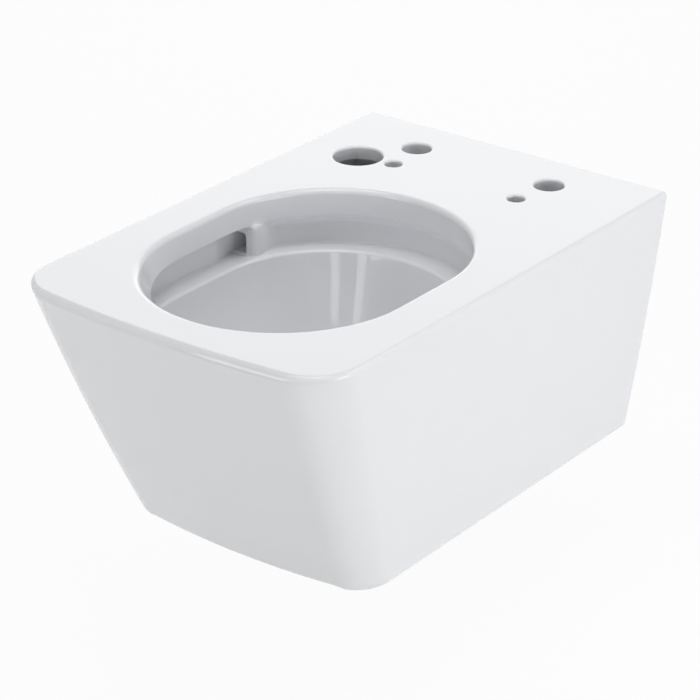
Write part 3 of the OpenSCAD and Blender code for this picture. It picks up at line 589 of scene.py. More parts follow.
def take_result(made):
    """Turns what an object's modifiers make into its plain mesh"""
    evaluated = made.evaluated_get(bpy.context.evaluated_depsgraph_get())
    mesh = bpy.data.meshes.new_from_object(evaluated)
    old = made.data
    if made.type == "MESH":
        made.modifiers.clear()
        made.data = mesh
        bpy.data.meshes.remove(old)
        return made
    name = made.name
    remove(made)
    return new_object(name, mesh)


def remove(made):
    data = made.data
    bpy.data.objects.remove(made)
    if data.users == 0:
        (bpy.data.curves if isinstance(data, bpy.types.Curve) else bpy.data.meshes).remove(data)


def smooth(made, sharp_angle):
    """Smooth shading that keeps large flats flat and real edges crisp"""
    mesh = made.data
    mesh.shade_smooth()
    mesh.set_sharp_from_angle(angle=sharp_angle)
    weighted = made.modifiers.new("weighted", "WEIGHTED_NORMAL")
    weighted.keep_sharp = True
    weighted.mode = "FACE_AREA_WITH_ANGLE"
    take_result(made)


def finish_piece(made, body, material, replaced):
    made.data.materials.clear()
    made.data.materials.append(material)
    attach(made, body)
    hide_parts(*replaced)


# Geometry node trees

FLOAT, INT = "NodeSocketFloat", "NodeSocketInt"
THREAD_STEPS = 28
RIDGE_SIDES = 4
# Any triangle will do, because the thread's tree replaces the mesh that it is put on
CARRIER = [(0, 0, 0), (0.001, 0, 0), (0, 0.001, 0)]


class Tree:
    """A geometry node tree with named inputs"""

    def __init__(self, name, inputs):
        self.group = bpy.data.node_groups.new(name, "GeometryNodeTree")
        self.ids = {}
        face = self.group.interface
        face.new_socket("Geometry", in_out="INPUT", socket_type="NodeSocketGeometry")
        for label, kind in inputs.items():
            self.ids[label] = face.new_socket(label, in_out="INPUT", socket_type=kind).identifier
        face.new_socket("Geometry", in_out="OUTPUT", socket_type="NodeSocketGeometry")
        self.start = self.group.nodes.new("NodeGroupInput")

    def node(self, kind, settings=None, **inputs):
        made = self.group.nodes.new(kind)
        for name, value in (settings or {}).items():
            setattr(made, name, value)
        for name, value in inputs.items():
            key = int(name[1:]) if name[1:].isdigit() else name.replace("_", " ")
            socket = made.inputs[key]
            if isinstance(value, bpy.types.NodeSocket):
                self.group.links.new(value, socket)
            else:
                socket.default_value = value
        return made.outputs

    def given(self, label):
        return self.start.outputs[label]

    def close(self, geometry, material):
        plain = self.node("GeometryNodeRealizeInstances", Geometry=geometry)[0]
        done = self.node("GeometryNodeSetMaterial", Geometry=plain, Material=material)[0]
        end = self.group.nodes.new("NodeGroupOutput")
        self.group.links.new(done, end.inputs[0])

    def apply(self, made, values):
        """Runs the tree on an object and keeps the plain mesh that it makes"""
        modifier = made.modifiers.new(self.group.name, "NODES")
        modifier.node_group = self.group
        for label, value in values.items():
            modifier[self.ids[label]] = value
        return take_result(made)


def pipe_tree():
    """Round pipe along a curve, whose points carry the bore's radius"""
    tree = Tree("Pipe", {"Wall": FLOAT, "Sides": INT, "Material": "NodeSocketMaterial"})
    radius = tree.node("GeometryNodeInputRadius")[0]
    grown = tree.node("ShaderNodeMath", {"operation": "ADD"}, _0=radius, _1=tree.given("Wall"))[0]
    circle = tree.node("GeometryNodeCurvePrimitiveCircle", Resolution=tree.given("Sides"),
                       Radius=1.0)[0]
    pipe = tree.node("GeometryNodeCurveToMesh", _0=tree.given("Geometry"), _1=circle, Scale=grown,
                     Fill_Caps=True)[0]
    tree.close(pipe, tree.given("Material"))
    return tree


def thread_tree():
    """Ridge of a screw thread, wound round Z and rising from the origin"""
    tree = Tree("Thread", {"Radius": FLOAT, "Depth": FLOAT, "Pitch": FLOAT, "Turns": FLOAT, "Steps": INT,
                           "Material": "NodeSocketMaterial"})
    rise = tree.node("ShaderNodeMath", {"operation": "MULTIPLY"}, _0=tree.given("Pitch"),
                     _1=tree.given("Turns"))[0]
    radius = tree.given("Radius")
    path = tree.node("GeometryNodeCurveSpiral", Resolution=tree.given("Steps"),
                     Rotations=tree.given("Turns"), Start_Radius=radius, End_Radius=radius, Height=rise)[0]
    level = tree.node("GeometryNodeSetCurveNormal", {"mode": "Z_UP"}, Curve=path)[0]
    ridge = tree.node("GeometryNodeCurvePrimitiveCircle", Resolution=RIDGE_SIDES,
                      Radius=tree.given("Depth"))[0]
    thread = tree.node("GeometryNodeCurveToMesh", _0=level, _1=ridge, Fill_Caps=True)[0]
    tree.close(thread, tree.given("Material"))
    return tree


def thread(s, tree, name, radius, pitch, l, axis, start):
    """One thread of length l, from its start along +Z or -Y"""
    made = tree.apply(solid(name, CARRIER, [(0, 1, 2)]), {
        "Radius": radius, "Depth": s.thread_depth, "Pitch": pitch, "Turns": l / pitch, "Steps": THREAD_STEPS})
    turn = Matrix.Rotation(pi / 2, 4, "X") if axis == "Y" else Matrix()
    made.data.transform(Matrix.Translation(start) @ turn)
    return closed(made)


# The china

# How finely the outside, the room inside the skirt, the opening, the bowl, the duct and the trap are cut
CORNER_STEPS = 36
FRONT_STEPS = 72
SIDE_STEPS = 14
EDGE_STEPS = 12
SKIRT_STEPS = 34
FOOT_STEPS = 8
ROOM_STEPS = 16
ROOM_FINENESS = 0.4
BACK_STEPS = 60
NOZZLE_STEPS = 8
FACE_STEPS = 5
WIDENING_STEPS = 14
STRAIGHT_STEPS = 12
HALF_ROUND_STEPS = 56
RIM_STEPS = 4
UNDER_RIM_STEPS = 3
WALL_STEPS = 5
LEDGE_STEPS = 4
BASIN_STEPS = 26
BOWL_STEPS = 24
SUMP_STEPS = 8
DUCT_STEPS = 48
DUCT_WALL_STEPS = 40
HOLE_EDGE_STEPS = 8
FIRST_BEND_STEPS = 16
WEIR_STEPS = 24
LAST_BEND_STEPS = 12
LEG_STEPS = 4
PIPE_SIDES = 64
# How far a cutter runs past a face, the chamfer inside the foot, and what counts as on a plane and as level
OVERRUN = 0.001
FOOT_CHAMFER_W, FOOT_CHAMFER_H = 0.0005, 0.0008
ON_PLANE = 1e-5
LEVEL = 0.9


def plan(s, w, l, r, back, fine=1.0):
    """Plan of the pan, clockwise from the back right: straight sides, round corners, bowed front"""
    bow_r = (w * w + s.front_bow ** 2) / (2 * s.front_bow)
    bow_y = bow_r - l
    corner_y = bow_y - sqrt((bow_r - r) ** 2 - (w - r) ** 2)
    turn = atan2(w - r, bow_y - corner_y)
    corner = [(w - r + r * cos(a), corner_y - r * sin(a))
              for a in steps(0, pi / 2 - turn, int(CORNER_STEPS * fine))]
    side = [(w, back + (corner_y - back) * i / SIDE_STEPS) for i in range(SIDE_STEPS)]
    front = [(bow_r * sin(a), bow_y - bow_r * cos(a))
             for a in steps(turn, -turn, int(FRONT_STEPS * fine))[1:-1]]
    half = side + corner
    return half + front + [(-x, y) for x, y in reversed(half)]


def outer_ring(s, d):
    return at_z(plan(s, s.side_x(d), s.front_l(d), s.corner_r(d), 0), s.deck_z - d)


def foot_rise(s, x, y, e):
    if y > s.open_back_y:
        return 0
    return (s.foot_lift * ease(1 - e / s.foot_fade_h)
            * (1 - ease((abs(x) - s.foot_lift_x) / s.foot_lift_run)))


def foot_ring(s, e, inset, rise=0):
    """Ring e above the lower edge, set in from it; rise lifts the ring into the recess"""
    d = s.pan_h - e
    outline = plan(s, s.side_x(d) - inset, s.front_l(d) - inset, s.corner_r(d) - inset,
                   -s.flange_l if inset > s.foot_w / 2 else 0)
    lifted = rise < s.foot_recess
    return [(x, y, s.foot_z + e + rise + foot_rise(s, x, y, e) * lifted) for x, y in outline]


def outer_form(s):
    """Deck, leaning skirt and foot, as one solid block, bare against the wall and under the foot"""
    edge_h = s.front_edge_r * (1 + sin(atan(s.front_slope_top)))
    foot_r = max(s.foot_side_r, s.foot_front_r)
    quarter = steps(0, pi / 2, EDGE_STEPS)
    rings = [outer_ring(s, edge_h * (1 - cos(a))) for a in quarter]
    rings += [outer_ring(s, d) for d in steps(edge_h, s.pan_h - s.foot_fade_h, SKIRT_STEPS, 1)]
    rings += [foot_ring(s, e, 0) for e in steps(s.foot_fade_h, foot_r, FOOT_STEPS, 1)]
    rings += [foot_ring(s, foot_r * (1 - cos(a)), 0) for a in reversed(quarter[:-1])]
    rings += [foot_ring(s, 0, s.foot_w), foot_ring(s, 0, s.foot_w + FOOT_CHAMFER_W, FOOT_CHAMFER_H),
              foot_ring(s, 0, s.foot_w + FOOT_CHAMFER_H, s.foot_recess)]
    made = loft("outer_form", rings)
    for face in made.data.polygons:
        centre = face.center
        at_foot = centre.z < s.foot_z + ON_PLANE and face.normal.z < -LEVEL
        if centre.y > -ON_PLANE or at_foot:
            face.material_index = BARE
    return made


def skirt_room(s, name, d_top, d_low, wall, back):
    """Room inside the skirt between two depths, with filleted corners"""
    quarter = [s.inner_r * (1 - cos(a)) for a in steps(0, pi / 2, FILLET_STEPS)]
    depths = [d_top + e for e in quarter]
    depths += steps(d_top + s.inner_r, d_low - s.inner_r, ROOM_STEPS)[1:-1]
    depths += [d_low - e for e in reversed(quarter)]
    rings = []
    for d in depths:
        inset = fillet(d - d_top, s.inner_r) + fillet(d_low - d, s.inner_r)
        w = s.side_start - s.lean(d, s.side_taper, s.side_belly) - wall - inset
        l = s.front_start - s.lean(d, s.front_taper, s.front_belly) - wall * s.front_skew - inset
        r = s.corner_top_r + (s.corner_foot_r - s.corner_top_r) * d / s.pan_h - wall
        rings.append(at_z(plan(s, w, l, r, back, ROOM_FINENESS), s.deck_z - d))
    return loft(name, rings)


def opening_stations(s):
    """Stations round the opening from the back middle, clockwise seen from above

    Each is (angle, share of the way from the back half to the front half, point of the channel's
    outer wall or the distributor's inner wall in plan, shape under the rim). That shape is the
    height of the rim's underside, how far it is rounded above and below it, and the share of its
    width that each rounding takes.
    """
    back_y, front_y = s.open_back_y, s.open_front_y
    outer_r = s.channel_r_out
    front_r = s.channel_front_r - s.channel_t
    face_y = -s.nozzle_y
    round_r = s.nozzle_corner_r
    block_r = s.open_r - s.nozzle_reach
    arc_y = face_y + round_r
    arc_x = sqrt((block_r + round_r) ** 2 - (arc_y - back_y) ** 2)
    touch = atan2(arc_y - back_y, arc_x)
    in_channel = (s.joint_z, s.channel_r, s.channel_r / s.channel_w)
    on_block = (s.joint_z + s.block_top, s.block_soft, 0.5)
    at_back = (s.joint_z - s.back_drop, s.back_soft, 0.5)

    def at_angle(t, r, under):
        return (t, 0, (r * cos(t), back_y + r * sin(t)), under)

    half = [at_angle(t, s.inner_wall_r(t), mix(on_block, at_back, s.block_fade(t)))
            for t in steps(pi / 2, touch, BACK_STEPS)]
    for i, a in enumerate(steps(pi + touch, 3 * pi / 2, NOZZLE_STEPS, 1)):
        x, y = arc_x + round_r * cos(a), arc_y + round_r * sin(a)
        under = mix(on_block, in_channel, ease((i + 1) / NOZZLE_STEPS))
        half.append((atan2(y - back_y, x), 0, (x, y), under))
    far_x = (outer_r + s.duct_growth(s.face_a)) * cos(s.face_a)
    half += [(atan2(face_y - back_y, x), 0, (x, face_y), in_channel)
             for x in steps(arc_x, far_x, FACE_STEPS, 1)]
    half += [at_angle(t, outer_r + s.duct_growth(t), in_channel)
             for t in steps(s.face_a, 0, WIDENING_STEPS, 1)]
    half += [(0, f, (outer_r, back_y + (front_y - back_y) * f), in_channel)
             for f in steps(0, 1, STRAIGHT_STEPS, 1)]
    half += [(t, 1, (outer_r * cos(t), front_y + front_r * sin(t)), in_channel)
             for t in steps(0, -pi / 2, HALF_ROUND_STEPS, 1)]
    mirrored = [(pi - t, f, (-p[0], p[1]), under) for t, f, p, under in reversed(half[1:-1])]
    return half + mirrored


def round_ring(stations, back_y, front_y, side, back, front):
    """Outline at the stations, of two half ellipses joined by straight sides"""
    return [(side * cos(t), back_y + (front_y - back_y) * f + (back if sin(t) > 0 else front) * sin(t))
            for t, f, *_ in stations]


def basin_ring(s, stations, z, wall, shrink=0):
    b = s.basin(z)
    ledge = s.open_r - s.ledge_w
    a = s.sump_r + (ledge - s.sump_r) * b - shrink + wall
    y_back = s.basin_back(z) - shrink + wall
    y_front = -s.sump_front - (-s.sump_front - s.open_front_y + ledge) * b + shrink - wall
    middle = (y_back + y_front) / 2
    straight = (s.open_back_y - s.open_front_y) / 2 * b
    return at_z(round_ring(stations, middle + straight, middle - straight, a,
                           y_back - middle - straight, middle - straight - y_front), z)


def between(ring_a, ring_b, share, z):
    return at_z([mix(a[:2], b[:2], share) for a, b in zip(ring_a, ring_b)], z)


def rim_ring(s, stations, r, height):
    """Ring on the rim wall, whose front leans in; height gives a station's own height"""
    ring = []
    for t, f, _, under in stations:
        z = height(under)
        run = s.open_front_y + s.rim_lean_at(z) - s.open_back_y
        ring.append((r * cos(t), s.open_back_y + run * f + r * sin(t), z))
    return ring


def bowl_void(s, stations):
    """Everything that the open pan is hollowed by: opening, flush channel, basin and sump"""
    quarter = steps(0, pi / 2, EDGE_STEPS)
    short = steps(0, pi / 2, FILLET_STEPS)
    soft = s.channel_r
    share = soft / s.channel_w
    flare_r = s.open_r + s.rim_edge_r
    edge_low = s.deck_z - s.rim_edge_r
    rim = rim_ring(s, stations, s.open_r, lambda under: under[0] + under[1])
    wall = [station[2] for station in stations]
    ledge = basin_ring(s, stations, s.shelf_z, s.ledge_edge_r)

    def beneath(rounded, flat, rise):
        """Ring under the rim, on its roundings and the flat between them"""
        ring = []
        for a, b, (_, _, _, (z, drop, edge)) in zip(rim, wall, stations):
            ring.append((*mix(a[:2], b, rounded * edge + flat), z + drop * rise))
        return ring

    def down_wall(k):
        return [(*p, (z - drop) * (1 - k) + (s.shelf_z + soft) * k) for _, _, p, (z, drop, _) in stations]

    low = s.sump_z + s.sump_round
    edge_z = s.shelf_z - s.ledge_edge_r
    rings = [rim_ring(s, stations, flare_r, lambda under: s.deck_z + OVERRUN)]
    rings += [rim_ring(s, stations, flare_r - s.rim_edge_r * sin(a),
                       lambda under: s.deck_z - s.rim_edge_r * (1 - cos(a))) for a in quarter]
    rings += [rim_ring(s, stations, s.open_r,
                       lambda under: edge_low * (1 - k) + (under[0] + under[1]) * k)
              for k in steps(0, 1, RIM_STEPS, 1)]
    rings += [beneath(1 - cos(a), 0, 1 - sin(a)) for a in short[1:]]
    rings += [beneath(1 - 2 * k, k, 0) for k in steps(0, 1, UNDER_RIM_STEPS, 1)]
    rings += [beneath(sin(a) - 1, 1, cos(a) - 1) for a in short[1:]]
    rings += [down_wall(k) for k in steps(0, 1, WALL_STEPS, 1)]
    rings += [between(wall, ledge, share * (1 - cos(a)), s.shelf_z + soft * (1 - sin(a)))
              for a in short[1:]]
    rings += [between(wall, ledge, k, s.shelf_z) for k in steps(share, 1, LEDGE_STEPS, 1)]
    rings += [basin_ring(s, stations, s.shelf_z - s.ledge_edge_r * (1 - cos(a)),
                         s.ledge_edge_r * (1 - sin(a))) for a in short[1:]]
    rings += [basin_ring(s, stations, z, 0) for z in steps(edge_z, low, BASIN_STEPS, 1)]
    rings += [basin_ring(s, stations, low - s.sump_round * sin(a), 0, s.sump_round * (1 - cos(a)))
              for a in quarter[1:]]
    return loft("bowl_void", rings)


def bowl_mass(s, stations):
    """Outside of the flush channel, shelf and basin, within the skirt"""
    soft = s.channel_r

    def shelf(inset):
        r = s.channel_side_r - inset
        ring = round_ring(stations, s.open_back_y, s.open_front_y, r, r, s.channel_front_r - inset)
        grown = []
        for (x, y), (t, *_) in zip(ring, stations):
            out = s.duct_growth(t) if sin(t) > 0 else 0
            grown.append((x + out * cos(t), min(y + out * sin(t), s.chamber_front_y)))
        return grown

    low = s.sump_z + s.sump_round
    under_z = s.shelf_z - s.bowl_t
    rings = [at_z(shelf(0), s.joint_z), at_z(shelf(0), under_z + soft)]
    rings += [at_z(shelf(soft * (1 - cos(a))), under_z + soft * (1 - sin(a)))
              for a in steps(0, pi / 2, SOFT_STEPS, 1)]
    rings += [basin_ring(s, stations, z, s.bowl_t) for z in steps(under_z, low, BOWL_STEPS)]
    rings += [basin_ring(s, stations, low - (low - s.floor_z + OVERRUN) * sin(a), s.bowl_t,
                         s.sump_round * (1 - cos(a))) for a in steps(0, pi / 2, SUMP_STEPS, 1)]
    return loft("bowl_mass", rings)


def rim_block(s, stations):
    ring = round_ring(stations, s.open_back_y, s.open_front_y, s.channel_side_r, s.channel_side_r,
                      s.channel_front_r)
    return loft("rim_block", [at_z(ring, s.deck_z), at_z(ring, s.joint_z - 2 * OVERRUN)])


def duct(s):
    """Horseshoe duct to the two nozzles, with its window to the inlet chamber"""
    face_y = -s.nozzle_y
    back_y = s.chamber_front_y - s.channel_t
    start_y = face_y - 2 * s.nozzle_corner_r
    low, top = s.shelf_z + s.nozzle_sill, s.shelf_z + s.nozzle_h

    def ring(inset, z):
        outer_r = s.channel_r_out - inset
        inner_end = s.open_r - s.nozzle_reach + s.nozzle_wall + inset
        outer = [(sqrt((outer_r - OVERRUN) ** 2 - (start_y - s.open_back_y) ** 2), start_y)]
        for t in steps(s.face_a, pi / 2, DUCT_STEPS):
            r = outer_r + s.duct_growth(t)
            outer.append((r * cos(t), min(s.open_back_y + r * sin(t), back_y - inset)))
        inner = [(sqrt(inner_end ** 2 - (face_y - s.open_back_y) ** 2), start_y)]
        for t in steps(asin((face_y - s.open_back_y) / inner_end), pi / 2, DUCT_WALL_STEPS):
            wall = s.nozzle_wall + (s.duct_wall - s.nozzle_wall) * s.block_fade(t)
            r = s.inner_wall_r(t) + wall + inset
            inner.append((r * cos(t), s.open_back_y + r * sin(t)))
        left_outer, left_inner = [[(-x, y) for x, y in side] for side in (outer, inner)]
        return at_z(left_outer + outer[::-1][1:] + inner + left_inner[::-1][1:], z)

    made = loft("duct", [ring(s.nozzle_slot_r * (1 - sin(a)), top - s.nozzle_slot_r * (1 - cos(a)))
                         for a in steps(0, pi / 2, FILLET_STEPS)] + [ring(0, low)])
    window_w = s.chamber_w - 2 * (s.bowl_t + s.window_margin)
    window = box("window", (-window_w / 2, back_y - s.nozzle_slot_r - OVERRUN, low),
                 (window_w / 2, s.chamber_front_y + OVERRUN, top))
    room_x = s.chamber_w / 2 - s.bowl_t
    room = box("chamber_room", (-room_x, s.chamber_front_y, s.chamber_z),
               (room_x, -s.mouth_y - s.inlet_l - s.bowl_t, s.deck_under_z - s.bowl_t), s.inner_r)
    return join(made, window, room)


def deck_hole(s, x, y, d):
    """Cutter for a round deck hole with a rounded upper edge"""
    r, edge = d / 2, s.hole_edge_r
    profile = [(r + edge, OVERRUN)]
    profile += [(r + edge * (1 - sin(a)), -edge * (1 - cos(a)))
                for a in steps(0, pi / 2, HOLE_EDGE_STEPS)]
    profile += [(r, -s.deck_t + edge / 2), (r, -s.deck_t - 3 * OVERRUN)]
    return lathe("deck_hole", profile, "Z", (x, y, s.deck_z), ROUND_SIDES)


def trap_route(s):
    """Centre line of the trap in the plane of symmetry: rise, weir, fall, outlet"""
    def bend(start, r, turn, n):
        y, z, h = start
        sign = 1 if turn > 0 else -1
        return [(y + sign * r * (sin(g) - sin(h)), z - sign * r * (cos(g) - cos(h)), g)
                for g in steps(h, h + turn, n, 1)]

    def run(start, l):
        y, z, h = start
        return [(y + k * cos(h), z + k * sin(h), h) for k in steps(0, l, LEG_STEPS, 1)]

    reach = -s.trap_weir_y - s.throat_y
    weir_z = s.shelf_z - s.trap_weir_drop
    bends_r = s.trap_bend_r + s.trap_weir_r
    over_bends = weir_z - s.throat_z - bends_r
    rise_a = atan2(over_bends, reach) + asin(bends_r / hypot(reach, over_bends))
    rise_l = (reach - bends_r * sin(rise_a)) / cos(rise_a)
    fall_h = weir_z + s.outlet_drop - (s.trap_weir_r + s.trap_out_r) * (1 - cos(s.trap_fall))
    start = (s.throat_y, s.throat_z, 0)
    up = bend(start, s.trap_bend_r, rise_a, FIRST_BEND_STEPS)
    rise = run(up[-1], rise_l)
    over = bend(rise[-1], s.trap_weir_r, -rise_a - s.trap_fall, WEIR_STEPS)
    fall = run(over[-1], fall_h / sin(s.trap_fall))
    out = bend(fall[-1], s.trap_out_r, s.trap_fall, LAST_BEND_STEPS)
    before = [start] + up + rise + over
    return before + fall + out, len(before)


def trap_pipe(s, tree, name, wall, ends):
    """The trap as a pipe, opened towards the outlet after the weir; ends run past it at both sides"""
    route, weir = trap_route(s)
    n = len(route)
    y, z, _ = route[-1]
    grow = (s.outlet_bore_d - s.trap_d) / 2 - s.spigot_step
    points = [(py, pz, s.trap_d / 2 + grow * ease((i - weir) / (n - 1 - weir)))
              for i, (py, pz, _) in enumerate(route)]
    if ends[0]:
        points.insert(0, (s.throat_y - ends[0], s.throat_z, s.trap_d / 2))
    if ends[1]:
        points.append((y + ends[1], z, points[-1][2]))
    data = bpy.data.curves.new(name, "CURVE")
    data.dimensions = "3D"
    spline = data.splines.new("POLY")
    spline.points.add(len(points) - 1)
    for point, (py, pz, r) in zip(spline.points, points):
        point.co = (0, py, pz, 1)
        point.radius = r
    made = new_object(name, data)
    return closed(tree.apply(made, {"Wall": wall, "Sides": PIPE_SIDES}))


def mouth_pipe(s, name, r, far, z):
    """Outside of a pipe from its mouth, drawn in by the edge's rounding just behind the mouth"""
    edge = s.spigot_edge_r
    profile = [(r - (edge - edge * (1 - sin(a))), -s.mouth_y - edge * (1 - cos(a)))
               for a in steps(0, pi / 2, SOFT_STEPS)]
    return lathe(name, profile + [(r, far)], "Y", (0, 0, z), ROUND_SIDES)


def skirt_hollow(s, stations):
    """Room inside the skirt with its mouth at the wall, round the rim and the two ribs"""
    floor_d = s.pan_h - s.foot_recess - s.floor_t
    hollow = skirt_room(s, "hollow", s.deck_t, floor_d, s.skirt_t, -s.flange_l)
    mouth = skirt_room(s, "mouth", s.deck_t, floor_d - s.flange_w, s.skirt_t + s.flange_w, OVERRUN)
    ribs = [box("rib", (x0, -s.mouth_y - s.rib_t, -s.rib_drop), (x1, -s.mouth_y, s.joint_z))
            for x0, x1 in ((-s.pan_w / 2, -s.rib_in), (s.rib_in, s.pan_w / 2))]
    return cut(join(hollow, mouth), rim_block(s, stations), *ribs)


def pipe_outsides(s, tree, end_y):
    """Outsides of the trap, its throat, the spigot on its web, the inlet horn and its chamber"""
    spigot_y = -s.mouth_y - (-s.mouth_y - end_y + s.bowl_t)
    chamber_y = -s.mouth_y - s.inlet_l
    return (
        trap_pipe(s, tree, "trap_outside", s.trap_t, (OVERRUN, 0)),
        rod("throat", s.trap_d / 2 + s.bowl_t, s.throat_y, -s.sump_back - s.sump_round, "Y",
            (0, 0, s.throat_z), PIPE_SIDES),
        mouth_pipe(s, "spigot", s.outlet_d / 2, spigot_y, -s.outlet_drop),
        box("web", (-s.web_w / 2, spigot_y - s.rib_t, s.floor_z - OVERRUN),
            (s.web_w / 2, spigot_y, -s.outlet_drop), 2 * OVERRUN),
        mouth_pipe(s, "horn", s.inlet_d / 2 + s.inlet_t, chamber_y - OVERRUN, s.inlet_z),
        box("chamber", (-s.chamber_w / 2, s.chamber_front_y - OVERRUN, s.chamber_z - s.bowl_t),
            (s.chamber_w / 2, chamber_y, s.deck_under_z + OVERRUN), s.inner_r),
    )


def waterways(s, tree, end_y):
    """Bores of the trap, spigot, duct and inlet horn"""
    throat_l = s.sump_back + s.sump_round + s.throat_y
    mouth_y = OVERRUN - s.mouth_y
    return (
        trap_pipe(s, tree, "trap_bore", 0, (throat_l, s.bowl_t)),
        rod("spigot_bore", s.outlet_bore_d / 2, mouth_y, end_y + OVERRUN, "Y", (0, 0, -s.outlet_drop)),
        duct(s),
        rod("horn_bore", s.inlet_d / 2, mouth_y, -s.mouth_y - s.inlet_l - s.bowl_t, "Y",
            (0, 0, s.inlet_z)),
    )


def holes(s):
    """Access, seat and supply holes in the deck, and the sleeves' holes in the ribs"""
    made = [deck_hole(s, sign * s.access_pitch / 2, -s.access_y, s.access_d) for _, sign in SIDES]
    made += [deck_hole(s, sign * s.seat_pitch / 2, -s.seat_y, s.seat_d) for _, sign in SIDES]
    made.append(deck_hole(s, -s.supply_x, -s.supply_y, s.supply_d))
    made += [rod("sleeve_hole", s.sleeve_d / 2 + s.seat_play, OVERRUN - s.mouth_y,
                 -OVERRUN - s.mouth_y - s.rib_t, "Y", (sign * s.stud_pitch / 2, 0, 0))
             for _, sign in SIDES]
    return made


def china_body(s):
    """The whole fired body, from its outer form to its waterways"""
    stations = opening_stations(s)
    tree = pipe_tree()
    route, _ = trap_route(s)
    end_y = route[-1][0]
    body = join(cut(outer_form(s), skirt_hollow(s, stations)), bowl_mass(s, stations))
    join(body, *pipe_outsides(s, tree, end_y))
    cut(body, bowl_void(s, stations), *waterways(s, tree, end_y), *holes(s))
    mark = body.data.attributes.new("bare", "FLOAT", "FACE")
    for face in body.data.polygons:
        mark.data[face.index].value = face.material_index
        face.material_index = GLAZED
    smooth(body, CHINA_SHARP_ANGLE)
    body.name = body.data.name = "china_body"
    return body


# Materials

class Value:
    """A value in a material; Python's operators on it add Math nodes, and | takes the larger"""

    def __init__(self, shader, socket):
        self.shader, self.socket = shader, socket

    def math(self, operation, a, b):
        return self.shader.node("ShaderNodeMath", {"operation": operation}, {0: a, 1: b})

    def __add__(self, other):
        return self.math("ADD", self, other)

    def __sub__(self, other):
        return self.math("SUBTRACT", self, other)

    def __rsub__(self, other):
        return self.math("SUBTRACT", other, self)

    def __mul__(self, other):
        return self.math("MULTIPLY", self, other)

    def __or__(self, other):
        return self.math("MAXIMUM", self, other)

    __radd__ = __add__
    __rmul__ = __mul__


class Shader:
    """The nodes of one material or world"""

    def __init__(self, owner, surface="Principled BSDF"):
        owner.use_nodes = True
        self.owner = owner
        self.tree = owner.node_tree
        self.surface = self.tree.nodes[surface]

    @cached_property
    def place(self):
        return self.node("ShaderNodeTexCoord", {}, {}, "Object")

    def node(self, kind, settings, inputs, output=0):
        made = self.tree.nodes.new(kind)
        for name, value in settings.items():
            setattr(made, name, value)
        for key, value in inputs.items():
            self.feed(made.inputs[key], value)
        return Value(self, made.outputs[output])

    def feed(self, socket, value):
        if isinstance(value, Value):
            self.tree.links.new(value.socket, socket)
        else:
            socket.default_value = value

    def noise(self, scale, detail):
        return self.node("ShaderNodeTexNoise", {},
                         {"Vector": self.place, "Scale": scale, "Detail": detail})

    def mix(self, share, a, b):
        first, second = [value if isinstance(value, Value) else (*value, 1) for value in (a, b)]
        return self.node("ShaderNodeMix", {"data_type": "RGBA"}, {0: share, 6: first, 7: second}, 2)

    def bump(self, height, distance):
        return self.node("ShaderNodeBump", {}, {"Height": height, "Distance": distance})

    def seen(self):
        """1 where the camera looks, straight, in gloss or through glass, and 0 for light on the object"""
        camera, gloss, glass = [self.node("ShaderNodeLightPath", {}, {}, f"Is {ray} Ray")
                                for ray in ("Camera", "Glossy", "Transmission")]
        return camera | gloss | glass

    def finish(self, **inputs):
        for name, value in inputs.items():
            self.feed(self.surface.inputs[name.replace("_", " ")], value)
        return self.owner


def shade(rgb, share):
    return tuple(c * share for c in rgb)


def china_material(made, colours):
    """White glaze with a soft waviness, and dull biscuit where the glaze stops"""
    bare = made.node("ShaderNodeAttribute", {"attribute_name": "bare"}, {}, "Fac")
    drift = made.noise(scale=5, detail=3)
    glaze = made.mix(drift, shade(colours.glaze, 0.985), colours.glaze)
    specks = made.noise(scale=420, detail=2)
    biscuit = made.mix(specks, shade(colours.biscuit, 0.9), colours.biscuit)
    wave = made.noise(scale=14, detail=1)
    grain = made.noise(scale=900, detail=3)
    return made.finish(
        Base_Color=made.mix(bare, glaze, biscuit),
        Roughness=0.04 + 0.04 * drift + bare * 0.65,
        IOR=1.52,
        Normal=made.bump(wave * (1 - bare) + grain * bare * 0.15, distance=0.0004))


def moulded_material(made, rgb, roughness):
    """Moulded nylon or rubber with a fine spark-eroded grain"""
    grain = made.noise(scale=1400, detail=3)
    drift = made.noise(scale=60, detail=2)
    return made.finish(
        Base_Color=made.mix(drift, shade(rgb, 0.88), rgb),
        Roughness=roughness - 0.05 + 0.1 * grain,
        Normal=made.bump(grain, distance=0.00012))


def zinc_material(made, colours):
    """Zinc plating over turned steel, slightly mottled"""
    cells = made.node("ShaderNodeTexVoronoi", {}, {"Vector": made.place, "Scale": 260}, "Color")
    tone = made.node("ShaderNodeRGBToBW", {}, {0: cells})
    drift = made.noise(scale=90, detail=3)
    return made.finish(
        Base_Color=made.mix(tone * 0.5 + drift * 0.5, shade(colours.zinc, 0.82), colours.zinc),
        Metallic=1.0,
        Roughness=0.28 + 0.14 * drift,
        Normal=made.bump(drift, distance=0.0001))


MAKERS = {
    "seal_rubber": lambda made, colours: moulded_material(made, colours.rubber, 0.62),
    "white_nylon": lambda made, colours: moulded_material(made, colours.white_nylon, 0.42),
    "grey_nylon": lambda made, colours: moulded_material(made, colours.grey_nylon, 0.5),
    "zinc_steel": zinc_material,
    "glazed_china": china_material,
}


def material(context, slot):
    """The dressed material for a slot; the frame's plain one has the slot's bare name"""
    name = f"{slot}_finish"
    if name not in bpy.data.materials:
        MAKERS[slot](Shader(bpy.data.materials.new(name)), context.scene.finish_colours)
    return bpy.data.materials[name]


